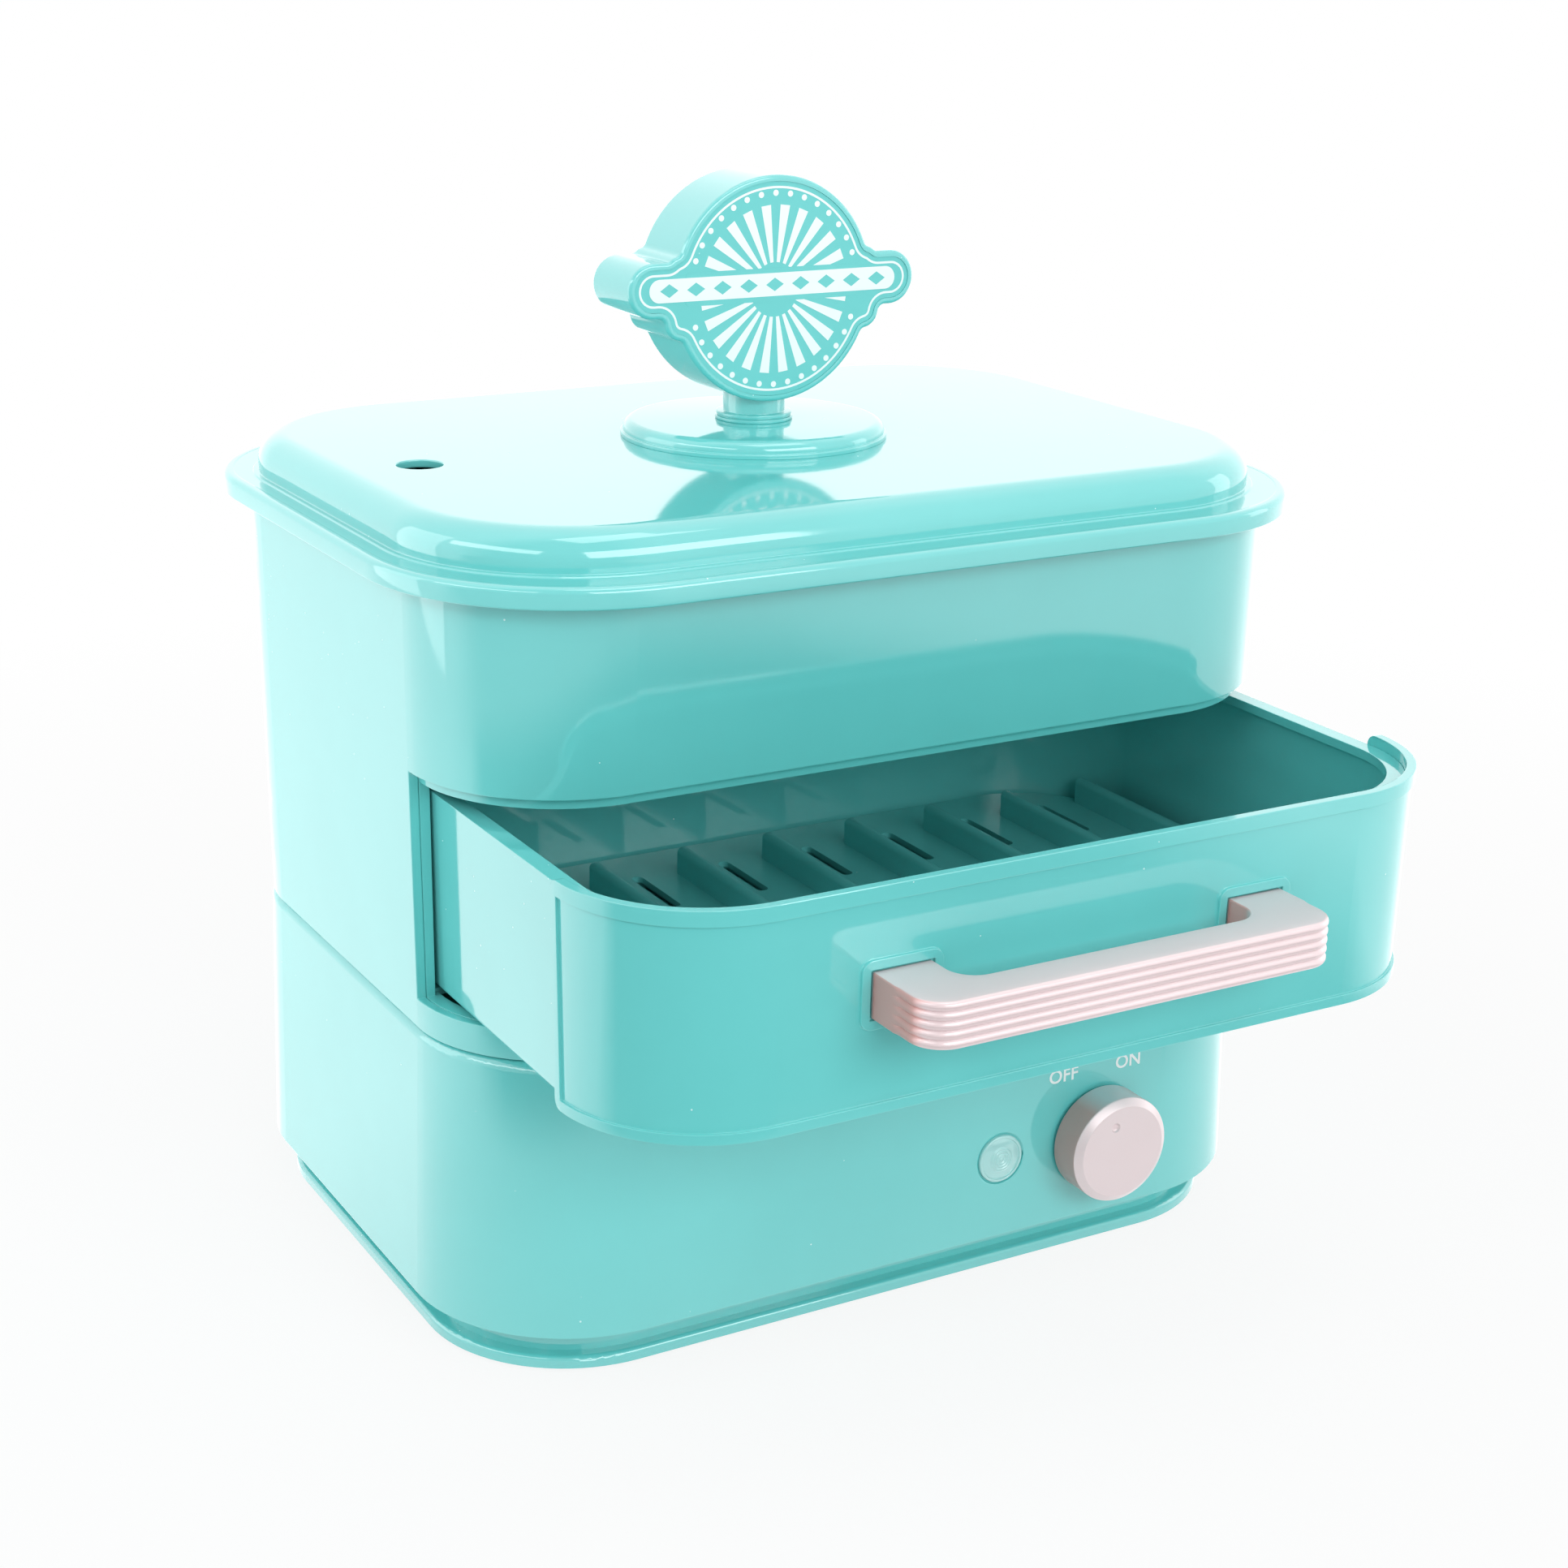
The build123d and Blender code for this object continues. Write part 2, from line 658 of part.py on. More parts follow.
with BuildPart() as switch_shaft:
    with BuildSketch(Plane(origin=(knob_x, shaft_end_y, knob_z), x_dir=(1, 0, 0), z_dir=(0, -1, 0))):
        Circle(shaft_radius - seat_gap)
    extrude(amount=shaft_end_y - knob_back_y + shaft_into_knob - seat_gap)
finish(switch_shaft, "switch_shaft")

# Indicator: a clear lens pushed through the panel, a lamp behind it and the lamp's sleeve.
lens_seat_y = panel_plane.origin.Y + lens_recess_depth
with BuildPart() as indicator_lens:
    with BuildSketch(Plane(origin=(lens_x, lens_seat_y, lens_z), x_dir=(1, 0, 0), z_dir=(0, -1, 0))):
        Circle(lens_radius)
    extrude(amount=1.2)
    fillet(indicator_lens.faces().sort_by(Axis.Y)[0].edges(), 0.6)
    with BuildSketch(Plane(origin=(lens_x, lens_seat_y, lens_z), x_dir=(1, 0, 0), z_dir=(0, -1, 0))):
        Circle(lens_stem_radius)
        Circle(lens_stem_radius - 1.2, mode=Mode.SUBTRACT)
    extrude(amount=-3 * base_wall)
finish(indicator_lens, "indicator_lens")

lamp_front_y = lens_seat_y + base_wall
with BuildPart() as indicator_lamp:
    with BuildSketch(Plane(origin=(lens_x, lamp_front_y, lens_z), x_dir=(1, 0, 0), z_dir=(0, -1, 0))):
        Circle(lamp_radius)
    extrude(amount=-lamp_length)
    fillet(indicator_lamp.faces().sort_by(Axis.Y)[0].edges(), lamp_radius * 0.9)
finish(indicator_lamp, "indicator_lamp")

sleeve_front_y = lens_seat_y + 3 * base_wall + seat_gap
with BuildPart() as lamp_sleeve:
    with BuildSketch(Plane(origin=(lens_x, sleeve_front_y, lens_z), x_dir=(1, 0, 0), z_dir=(0, -1, 0))):
        Circle(lens_stem_radius)
        Circle(lamp_radius + seat_gap, mode=Mode.SUBTRACT)
    extrude(amount=-(lamp_length - 3 * base_wall))
finish(lamp_sleeve, "lamp_sleeve")

# Cord gland: a flanged bush in the rear wall that a mains lead would pass through.
with BuildPart() as cord_gland:
    with BuildSketch(rear_plane.offset(-3 * base_wall)):
        with Locations((-gland_x, gland_z)):
            Circle(gland_radius)
    extrude(amount=gland_length)
    with BuildSketch(rear_plane.offset(seat_gap)):
        with Locations((-gland_x, gland_z)):
            Circle(gland_flange_radius)
    extrude(amount=1.8)
    with BuildSketch(rear_plane.offset(-3 * base_wall)):
        with Locations((-gland_x, gland_z)):
            Circle(gland_bore_radius)
    extrude(amount=gland_length, mode=Mode.SUBTRACT)
finish(cord_gland, "cord_gland")

# Terminal block: it stands on the base plate beside the gland.
block_length = 34.0
block_width = 16.0
block_height = 15.0
block_x = gland_x - 42.0
block_y = post_y - 6.0
block_low_z = plinth_low_z + plinth_floor
block_way_radius = 2.0
with BuildPart() as terminal_block:
    with BuildSketch(Plane((block_x, block_y, block_low_z))):
        Rectangle(block_length, block_width)
    extrude(amount=block_height)
    fillet(terminal_block.edges().filter_by(Axis.Z), 1.5)
    with BuildSketch(Plane(origin=(block_x, block_y - block_width / 2, block_low_z + block_height / 2),
                           x_dir=(1, 0, 0), z_dir=(0, -1, 0))):
        with GridLocations(block_length / 3, 1, 3, 1):
            Circle(block_way_radius)
    extrude(amount=-block_width, mode=Mode.SUBTRACT)
finish(terminal_block, "terminal_block")

# Wires: from the terminal block to the switch, and on to the heater under the tank.
wire_radius = 1.1
wire_bend = 6.0
wire_low_z = block_low_z + block_height / 2
wire_start_y = block_y - block_width / 2 - seat_gap
switch_tab_y = wall_back_y + switch_depth + terminal_length + seat_gap + wire_radius
switch_tab_z = knob_z - switch_height / 4
thermostat_tab_z = under_plate_z - thermostat_height - terminal_length - seat_gap
thermostat_y = element_circle_radius / 3
fuse_z = under_plate_z - fuse_radius - seat_gap
fuse_end_x = fuse_length / 2 + fuse_lead_length + seat_gap
element_tab_z = element_z - element_drop - seat_gap
wire_level_z = element_tab_z - 3 * wire_bend


def wire(points):
    """A wire that runs through the given points, with rounded bends."""
    with BuildPart() as run:
        with BuildLine() as path:
            FilletPolyline(*points, radius=wire_bend)
        with BuildSketch(Plane(origin=path.line @ 0, z_dir=path.line % 0)):
            Circle(wire_radius)
        sweep()
    return run


block_pitch = block_length / 3
switch_tab_x = switch_width / 4
finish(wire([(block_x + block_pitch, wire_start_y, wire_low_z),
             (block_x + block_pitch, switch_tab_y + 2 * wire_bend, wire_low_z),
             (knob_x + switch_tab_x, switch_tab_y + 2 * wire_bend, switch_tab_z),
             (knob_x + switch_tab_x, switch_tab_y, switch_tab_z)]), "wire_live")
finish(wire([(knob_x - switch_tab_x, switch_tab_y, switch_tab_z),
             (knob_x - switch_tab_x, switch_tab_y + 2 * wire_bend, switch_tab_z),
             (thermostat_radius / 2, thermostat_y, thermostat_tab_z - 3 * wire_bend),
             (thermostat_radius / 2, thermostat_y, thermostat_tab_z)]), "wire_switched")
finish(wire([(-thermostat_radius / 2, thermostat_y, thermostat_tab_z),
             (-thermostat_radius / 2, thermostat_y, thermostat_tab_z - 2 * wire_bend),
             (wire_radius - fuse_end_x, fuse_y, thermostat_tab_z - 2 * wire_bend),
             (wire_radius - fuse_end_x, fuse_y, fuse_z - fuse_lead_radius - seat_gap)]), "wire_fuse")
finish(wire([(block_x - block_pitch, wire_start_y, wire_low_z),
             (block_x - block_pitch, element_start[1], wire_low_z),
             (element_start[0], element_start[1], wire_level_z),
             (element_start[0], element_start[1], element_tab_z)]), "wire_neutral")

# ============================================================ drip tray

# Drip tray: a shallow pan over the tank, with raised steam openings in its floor.
drip_width, drip_length, drip_radius = tower_plan(tower_low_z, tower_wall + drip_side_gap)
pan_width = tank_width - 2 * tank_wall - 2 * drip_pan_gap
pan_length = tank_length - 2 * tank_wall - 2 * drip_pan_gap
pan_radius = tank_radius - tank_wall - drip_pan_gap
drip_low_z = seam_z + lift_gap
drip_top_z = drip_low_z + drip_thickness
pan_low_z = drip_low_z - drip_depth
with BuildPart() as drip_tray:
    add(plate(drip_width, drip_length, drip_radius, drip_low_z, drip_top_z))
    add(plate(pan_width, pan_length, pan_radius, pan_low_z, drip_low_z))
    fillet(drip_tray.edges().group_by(Axis.Z)[0], drip_thickness)
    add(plate(pan_width - 2 * drip_thickness, pan_length - 2 * drip_thickness, pan_radius - drip_thickness,
              pan_low_z + drip_thickness, drip_top_z + 1), mode=Mode.SUBTRACT)
    with BuildSketch(Plane.XY.offset(pan_low_z)):
        with GridLocations(chimney_pitch_x, chimney_pitch_y, chimney_columns, 2):
            SlotOverall(chimney_length, chimney_width)
    extrude(amount=chimney_height)
    with BuildSketch(Plane.XY.offset(pan_low_z)):
        with GridLocations(chimney_pitch_x, chimney_pitch_y, chimney_columns, 2):
            SlotOverall(chimney_length - 2 * drip_thickness, chimney_width - 2 * drip_thickness)
    extrude(amount=chimney_height, mode=Mode.SUBTRACT)
finish(drip_tray, "drip_tray")

# ============================================================ tower

# Tower shell: a tall open sleeve with the drawer opening wrapped round its front corners.
reach = body_width + body_depth
opening_centre_y = opening_back_y - reach / 2
frame_back_y = opening_back_y + jamb_depth
rail_start_y = frame_back_y + slide_gap
rail_middle_y = (rail_start_y + rail_end_y) / 2
rail_length = rail_end_y - rail_start_y
rail_screw_z = (rail_low_z + rail_high_z) / 2
rail_screw_pitch = rail_length * 0.6
rail_screw_length = small_head_height + tower_wall
rail_inner_x = tower_plan(rail_screw_z)[0] / 2 - tower_wall - seat_gap - rail_web
rail_edge_x = rail_inner_x + rail_web - rail_flange
with BuildPart() as tower_shell:
    add(tapered_block(tower_plan, tower_low_z, tower_top_z))
    add(tapered_block(tower_plan, tower_low_z - 1, tower_top_z + 1, tower_wall), mode=Mode.SUBTRACT)
    for side in (-1, 1):
        with BuildSketch(Plane(origin=(side * rail_inner_x, rail_middle_y, rail_screw_z),
                               x_dir=(0, 1, 0), z_dir=(side, 0, 0))):
            with GridLocations(rail_screw_pitch, 1, 2, 1):
                Circle(small_screw_radius + thread_gap)
        extrude(amount=rail_screw_length + thread_gap, mode=Mode.SUBTRACT)
    with BuildSketch(Plane((0, opening_centre_y, sill_z))):
        Rectangle(reach, reach)
    extrude(amount=fascia_z - sill_z, mode=Mode.SUBTRACT)
finish(tower_shell, "tower_shell")

# Drawer frame: sill, jambs and a set-back lip, one moulding inside the opening.
frame_low_z = sill_z - sill_thickness
frame_high_z = fascia_z + lip_rise
lip_z = fascia_z - lip_drop
jamb_half_width = tower_foot_width / 2 - jamb_cover
frame_centre_y = frame_back_y + reach / 2
with BuildPart() as drawer_frame:
    add(tapered_block(tower_plan, frame_low_z, frame_high_z, tower_wall + seat_gap))
    add(tapered_block(tower_plan, frame_low_z - 1, lip_z, tower_wall + sill_width), mode=Mode.SUBTRACT)
    add(tapered_block(tower_plan, lip_z - 1, frame_high_z + 1, tower_wall + lip_thickness),
        mode=Mode.SUBTRACT)
    with BuildSketch(Plane((0, opening_centre_y, sill_z))):
        Rectangle(reach, reach)
    extrude(amount=lip_z - sill_z, mode=Mode.SUBTRACT)
    with BuildSketch(Plane((0, frame_centre_y, frame_low_z - 1))):
        Rectangle(reach, reach)
    extrude(amount=tower_height, mode=Mode.SUBTRACT)
    with BuildSketch(Plane((0, opening_back_y, sill_z))):
        Rectangle(2 * jamb_half_width, 4 * jamb_depth)
    extrude(amount=lip_z - sill_z, mode=Mode.SUBTRACT)
finish(drawer_frame, "drawer_frame")

# Guide rails: a C-shaped channel inside each side wall, with countersunk screws.


def guide_rail(side):
    """One guide rail; side is -1 for the left wall and 1 for the right."""
    with BuildPart() as rail:
        add(tapered_block(tower_plan, rail_low_z, rail_high_z, tower_wall + seat_gap))
        add(tapered_block(tower_plan, rail_low_z + rail_thickness, rail_high_z - rail_thickness,
                          tower_wall + seat_gap + rail_web), mode=Mode.SUBTRACT)
        with BuildSketch(Plane((side * (rail_edge_x + reach / 2), rail_middle_y, rail_low_z))):
            Rectangle(reach, rail_length)
        extrude(amount=tower_height, mode=Mode.INTERSECT)
        with BuildSketch(Plane(origin=(side * rail_inner_x, rail_middle_y, rail_screw_z),
                               x_dir=(0, 1, 0), z_dir=(side, 0, 0))):
            with GridLocations(rail_screw_pitch, 1, 2, 1):
                Circle(small_head_radius + seat_gap)
        extrude(amount=small_head_height + seat_gap, mode=Mode.SUBTRACT)
        with BuildSketch(Plane(origin=(side * rail_inner_x, rail_middle_y, rail_screw_z),
                               x_dir=(0, 1, 0), z_dir=(side, 0, 0))):
            with GridLocations(rail_screw_pitch, 1, 2, 1):
                Circle(small_screw_radius + thread_gap)
        extrude(amount=rail_screw_length, both=True, mode=Mode.SUBTRACT)
    return rail


finish(guide_rail(-1), "left_rail")
finish(guide_rail(1), "right_rail")

with BuildPart() as rail_screws:
    for side in (-1, 1):
        with BuildSketch(Plane(origin=(side * rail_inner_x, rail_middle_y, rail_screw_z),
                               x_dir=(0, 1, 0), z_dir=(side, 0, 0))):
            with GridLocations(rail_screw_pitch, 1, 2, 1):
                Circle(small_head_radius)
        extrude(amount=small_head_height)
        with BuildSketch(Plane(origin=(side * rail_inner_x, rail_middle_y, rail_screw_z),
                               x_dir=(0, 1, 0), z_dir=(side, 0, 0))):
            with GridLocations(rail_screw_pitch, 1, 2, 1):
                Circle(small_screw_radius)
        extrude(amount=rail_screw_length)
finish(rail_screws, "rail_screws")

# ============================================================ drawer

# Drawer tray: an open tub with an inward rim and a slotted floor.
handle_mid_z = handle_low_z + handle_height / 2
handle_foot_x = handle_width / 2 - handle_foot_width / 2
tray_front_y = tray_y + front_y(tray_plan, handle_mid_z)
tray_inner_y = tray_front_y + tray_wall
with BuildPart() as drawer_tray:
    add(tapered_block(tray_plan, tray_low_z, tray_high_z, 0, tray_y))
    fillet(drawer_tray.edges().group_by(Axis.Z)[0], tray_wall)
    add(tapered_block(tray_plan, tray_low_z + tray_wall, tray_high_z - tray_rim_height, tray_wall, tray_y),
        mode=Mode.SUBTRACT)
    add(tapered_block(tray_plan, tray_low_z + tray_wall, tray_high_z + 1, tray_rim_width, tray_y),
        mode=Mode.SUBTRACT)
    with BuildSketch(Plane((0, tray_y, tray_low_z))):
        with GridLocations(rack_pitch, rack_slot_pitch, rack_count, rack_slot_rows):
            SlotOverall(tray_slot_length, tray_slot_width, rotation=90)
    extrude(amount=tray_wall, mode=Mode.SUBTRACT)
    with BuildSketch(Plane(origin=(0, tray_inner_y, handle_mid_z), x_dir=(1, 0, 0), z_dir=(0, -1, 0))):
        with GridLocations(2 * handle_foot_x, 1, 2, 1):
            Circle(screw_radius + thread_gap)
    extrude(amount=2 * tray_wall, both=True, mode=Mode.SUBTRACT)
finish(drawer_tray, "drawer_tray")

# Rack: it lies on the tray's floor, with ribs that keep the sausages side by side.
rack_low_z = tray_low_z + tray_wall
with BuildPart() as hot_dog_rack:
    add(tapered_block(tray_plan, rack_low_z, rack_low_z + rack_thickness, tray_wall + rack_margin, tray_y))
    with BuildSketch(Plane((0, tray_y, rack_low_z))):
        with GridLocations(rack_pitch, 1, rack_count + 1, 1):
            Rectangle(rack_rib_width, rack_rib_length)
    extrude(amount=rack_thickness + rack_rib_height)
    fillet(hot_dog_rack.edges().filter_by(Axis.Y).group_by(Axis.Z)[-1], rack_rib_width / 2.2)
    with BuildSketch(Plane((0, tray_y, rack_low_z))):
        with GridLocations(rack_pitch, rack_slot_pitch, rack_count, rack_slot_rows):
            SlotOverall(rack_slot_length, rack_slot_width, rotation=90)
    extrude(amount=rack_thickness, mode=Mode.SUBTRACT)
finish(hot_dog_rack, "hot_dog_rack")

# Drawer front: it wraps round the tray, with a raised border and a collar round each handle foot.
field_low_z = panel_low_z + panel_border
field_high_z = panel_high_z - panel_rim_width
panel_end_y = opening_back_y - panel_end_gap + panel_y
field_y = panel_y + front_y(panel_plan, handle_mid_z) + panel_relief
field_tilt = panel_lean_front / (panel_high_z - panel_low_z)
field_plane = Plane(origin=(0, field_y, handle_mid_z), x_dir=(1, 0, 0), z_dir=(0, -1, -field_tilt))
collar_inner_width = handle_foot_width + 2 * collar_margin
collar_inner_height = handle_height + 2 * collar_margin


def field_cutter():
    """The skin that is taken off the panel inside its border."""
    with BuildPart() as skin:
        add(tapered_ring(panel_plan, field_low_z, field_high_z, -panel_thickness, panel_relief, panel_y))
        with BuildSketch(Plane((0, panel_end_y - panel_border - reach / 2, field_low_z - 1))):
            Rectangle(reach, reach)
        extrude(amount=tower_height, mode=Mode.INTERSECT)
    return skin.part


field_skin = field_cutter()
with BuildPart() as drawer_front:
    add(tapered_ring(panel_plan, panel_low_z, panel_high_z, 0, panel_thickness, panel_y))
    with BuildSketch(Plane((0, panel_end_y + reach / 2, panel_low_z - 1))):
        Rectangle(reach, reach)
    extrude(amount=tower_height, mode=Mode.SUBTRACT)
    fillet(drawer_front.edges().filter_by(Axis.X).group_by(Axis.Y)[-1].group_by(Axis.Z)[-1],
           panel_high_z - tray_high_z)
    fillet(drawer_front.edges().filter_by(Axis.X).group_by(Axis.Y)[-1].group_by(Axis.Z)[0],
           panel_border)
    add(field_skin, mode=Mode.SUBTRACT)
    with BuildSketch(field_plane.offset(-panel_relief)):
        with GridLocations(2 * handle_foot_x, 1, 2, 1):
            RectangleRounded(collar_inner_width + 2 * collar_width, collar_inner_height + 2 * collar_width,
                             collar_radius)
        with GridLocations(2 * handle_foot_x, 1, 2, 1):
            Rectangle(collar_inner_width, collar_inner_height, mode=Mode.SUBTRACT)
    extrude(amount=panel_relief + collar_height)
    with BuildSketch(field_plane):
        with GridLocations(2 * handle_foot_x, 1, 2, 1):
            Circle(screw_radius + thread_gap)
    extrude(amount=2 * panel_thickness, both=True, mode=Mode.SUBTRACT)
finish(drawer_front, "drawer_front")

# Handle: a bar on two feet, with five rounded ribs along its front and round its corners.
handle_front_y = field_y - handle_reach
handle_back_y = field_y - seat_gap - field_tilt * handle_height / 2
rib_height = handle_height / handle_rib_count
gap_half_width = handle_width / 2 - handle_foot_width
bar_back_y = handle_front_y + handle_bar_depth
handle_block_depth = 2 * handle_reach


def rib_block(low_z):
    """One rounded rib: a flat block whose upper and lower edges are rolled over."""
    with BuildPart() as rib:
        with BuildSketch(Plane((0, handle_front_y + handle_block_depth / 2, low_z))):
            RectangleRounded(handle_width, handle_block_depth, handle_corner_radius)
        extrude(amount=rib_height)
        fillet(rib.edges().group_by(Axis.Z)[0] + rib.edges().group_by(Axis.Z)[-1], rib_height * 0.45)
    return rib.part


with BuildPart() as drawer_handle:
    for rib in range(handle_rib_count):
        add(rib_block(handle_low_z + rib * rib_height))
    with BuildSketch(Plane((0, handle_front_y + handle_rib_run + reach / 2, handle_low_z))):
        Rectangle(handle_width, reach)
    extrude(amount=handle_height)
    with BuildSketch(Plane((0, bar_back_y + handle_block_depth / 2, handle_low_z))):
        RectangleRounded(2 * gap_half_width, handle_block_depth, handle_inner_radius)
    extrude(amount=handle_height, mode=Mode.SUBTRACT)
    with BuildSketch(Plane((0, handle_back_y + reach, handle_low_z))):
        Rectangle(reach, 2 * reach)
    extrude(amount=handle_height, mode=Mode.SUBTRACT)
    with BuildSketch(Plane(origin=(0, handle_back_y, handle_mid_z), x_dir=(1, 0, 0), z_dir=(0, -1, 0))):
        with GridLocations(2 * handle_foot_x, 1, 2, 1):
            Circle(screw_radius + thread_gap)
    extrude(amount=base_screw_length, mode=Mode.SUBTRACT)
finish(drawer_handle, "drawer_handle")

# Handle screws: from inside the tray, through its wall and the panel, into the handle's feet.
handle_screw_y = tray_inner_y + 2 * thread_gap
with BuildPart() as handle_screws:
    with BuildSketch(Plane(origin=(0, handle_screw_y, handle_mid_z), x_dir=(1, 0, 0), z_dir=(0, -1, 0))):
        with GridLocations(2 * handle_foot_x, 1, 2, 1):
            Circle(screw_head_radius)
    extrude(amount=-screw_head_height)
    with BuildSketch(Plane(origin=(0, handle_screw_y, handle_mid_z), x_dir=(1, 0, 0), z_dir=(0, -1, 0))):
        with GridLocations(2 * handle_foot_x, 1, 2, 1):
            Circle(screw_radius)
    extrude(amount=base_screw_length)
finish(handle_screws, "handle_screws")

# ============================================================ bun tray

# Bun tray: a tapered tub that hangs in the tower's mouth by its flange.
bun_flange_z = tower_top_z + lift_gap
bun_flange_top_z = bun_flange_z + bun_flange_thickness
with BuildPart() as bun_tray:
    add(tapered_block(bun_plan, bun_low_tray_z, bun_flange_top_z))
    fillet(bun_tray.edges().group_by(Axis.Z)[0], 3 * bun_wall)
    add(plate(*tower_plan(tower_top_z, -bun_flange_overhang), bun_flange_z, bun_flange_top_z))
    add(tapered_block(bun_plan, bun_low_tray_z + bun_wall, bun_flange_top_z + 1, bun_wall),
        mode=Mode.SUBTRACT)
    with BuildSketch(Plane.XY.offset(bun_low_tray_z)):
        with GridLocations(bun_slot_pitch_x, bun_slot_pitch_y, bun_slot_columns, bun_slot_rows):
            SlotOverall(bun_slot_length, bun_slot_width)
    extrude(amount=bun_wall, mode=Mode.SUBTRACT)
finish(bun_tray, "bun_tray")

# ============================================================ lid

# Lid: a rim over the bun tray's flange, a domed top and a skirt that centres it in the tray.
lid_width = tower_plan(tower_top_z)[0] + 2 * lid_rim_side
lid_depth = tower_plan(tower_top_z)[1] + 2 * lid_rim_front
lid_rim_top_z = lid_rim_low_z + lid_rim_height
dome_top_z = lid_rim_top_z + dome_height
dome_under_z = dome_top_z - lid_wall
ledge_under_z = bun_flange_top_z + lift_gap
skirt_plan = bun_plan(tower_top_z, bun_wall + lid_skirt_gap)
skirt_inner_plan = bun_plan(tower_top_z, bun_wall + lid_skirt_gap + lid_skirt_width)


def dome_hollow():
    """The space under the dome, with its upper edge rounded like the dome's own."""
    with BuildPart() as hollow:
        add(plate(dome_width - 2 * lid_wall, dome_depth - 2 * lid_wall, dome_radius - lid_wall,
                  lid_rim_top_z, dome_under_z))
        fillet(hollow.edges().group_by(Axis.Z)[-1], dome_edge_radius - lid_wall)
    return hollow.part


with BuildPart() as lid_shell:
    add(plate(dome_width, dome_depth, dome_radius, lid_rim_low_z, dome_top_z))
    fillet(lid_shell.edges().group_by(Axis.Z)[-1], dome_edge_radius)
    add(plate(lid_width, lid_depth, lid_radius, lid_rim_low_z, lid_rim_top_z))
    fillet(lid_shell.edges().filter_by_position(Axis.Z, lid_rim_top_z, lid_rim_top_z)
           .filter_by(lambda edge: abs(edge.center().X) > dome_width / 2 - dome_radius / 2
                      or abs(edge.center().Y) > dome_depth / 2 + 1), lid_rim_edge)
    add(plate(lid_width - 2 * lid_wall, lid_depth - 2 * lid_wall, lid_radius - lid_wall,
              lid_rim_low_z - 1, ledge_under_z), mode=Mode.SUBTRACT)
    add(plate(*skirt_plan, ledge_under_z - lid_skirt_drop, lid_rim_top_z))
    add(plate(*skirt_inner_plan, ledge_under_z - lid_skirt_drop - 1, lid_rim_top_z), mode=Mode.SUBTRACT)
    add(dome_hollow(), mode=Mode.SUBTRACT)
    with BuildSketch(Plane.XY.offset(dome_under_z - 1)):
        with Locations((vent_x, 0)):
            Circle(vent_radius)
        Circle(lid_bolt_radius + thread_gap)
    extrude(amount=dome_height, mode=Mode.SUBTRACT)
finish(lid_shell, "lid_shell")

# Disc, collar ring and stem: they stand on the lid and carry the sign.
disc_top_z = dome_top_z + disc_height
sign_foot_z = sign_centre_z - sign_radius
stem_top_z = sign_foot_z + stem_into_sign
bolt_seat_z = dome_under_z - lid_washer_height
with BuildPart() as lid_disc:
    with BuildSketch(Plane.XY.offset(dome_top_z)):
        Circle(disc_radius)
    extrude(amount=disc_height)
    fillet(lid_disc.edges().group_by(Axis.Z)[-1], disc_edge_radius)
    with BuildSketch(Plane.XY.offset(dome_top_z)):
        Circle(lid_bolt_radius + thread_gap)
    extrude(amount=disc_height, mode=Mode.SUBTRACT)
finish(lid_disc, "lid_disc")

with BuildPart() as finial_stem:
    with BuildSketch(Plane.XY.offset(disc_top_z)):
        Circle(stem_radius)
    extrude(amount=stem_top_z - disc_top_z)
    with BuildSketch(Plane.XY.offset(disc_top_z)):
        Circle(lid_bolt_radius + thread_gap)
    extrude(amount=lid_bolt_length, mode=Mode.SUBTRACT)
finish(finial_stem, "finial_stem")

with BuildPart() as stem_collar:
    with BuildSketch(Plane.XY.offset(disc_top_z)):
        Circle(collar_ring_radius)
    extrude(amount=collar_ring_height)
    fillet(stem_collar.edges().group_by(Axis.Z)[-1], collar_ring_height * 0.35)
    with BuildSketch(Plane.XY.offset(disc_top_z)):
        Circle(stem_radius + seat_gap)
    extrude(amount=collar_ring_height, mode=Mode.SUBTRACT)
finish(stem_collar, "stem_collar")

with BuildPart() as lid_washer:
    with BuildSketch(Plane.XY.offset(bolt_seat_z)):
        Circle(lid_washer_radius)
        Circle(lid_bolt_radius + thread_gap, mode=Mode.SUBTRACT)
    extrude(amount=lid_washer_height)
finish(lid_washer, "lid_washer")

with BuildPart() as lid_bolt:
    with BuildSketch(Plane.XY.offset(bolt_seat_z - lid_bolt_head_height)):
        RegularPolygon(lid_bolt_head_radius, 6)
    extrude(amount=lid_bolt_head_height)
    with BuildSketch(Plane.XY.offset(bolt_seat_z)):
        Circle(lid_bolt_radius)
    extrude(amount=lid_bolt_length)
finish(lid_bolt, "lid_bolt")

# Sign: two shells that meet in the middle, each with a thin plate let into its face.
def sign_outline(height, inset=0.0):
    """The sign's outline, drawn flat round its own middle: a disc, a bun and a sausage."""
    with BuildSketch(Plane.XY.offset(height)) as outline:
        Circle(sign_radius)
        with Locations((0, (bun_low_z + bun_high_z) / 2 - sign_centre_z)):
            RectangleRounded(2 * bun_half_length, bun_high_z - bun_low_z, bun_corner_radius)
        with Locations((0, sausage_centre_z - sign_centre_z)):
            SlotOverall(2 * sausage_half_length, 2 * sausage_radius)
        offset(amount=sign_waist_radius)
        offset(amount=-sign_waist_radius - inset)
    return outline.sketch


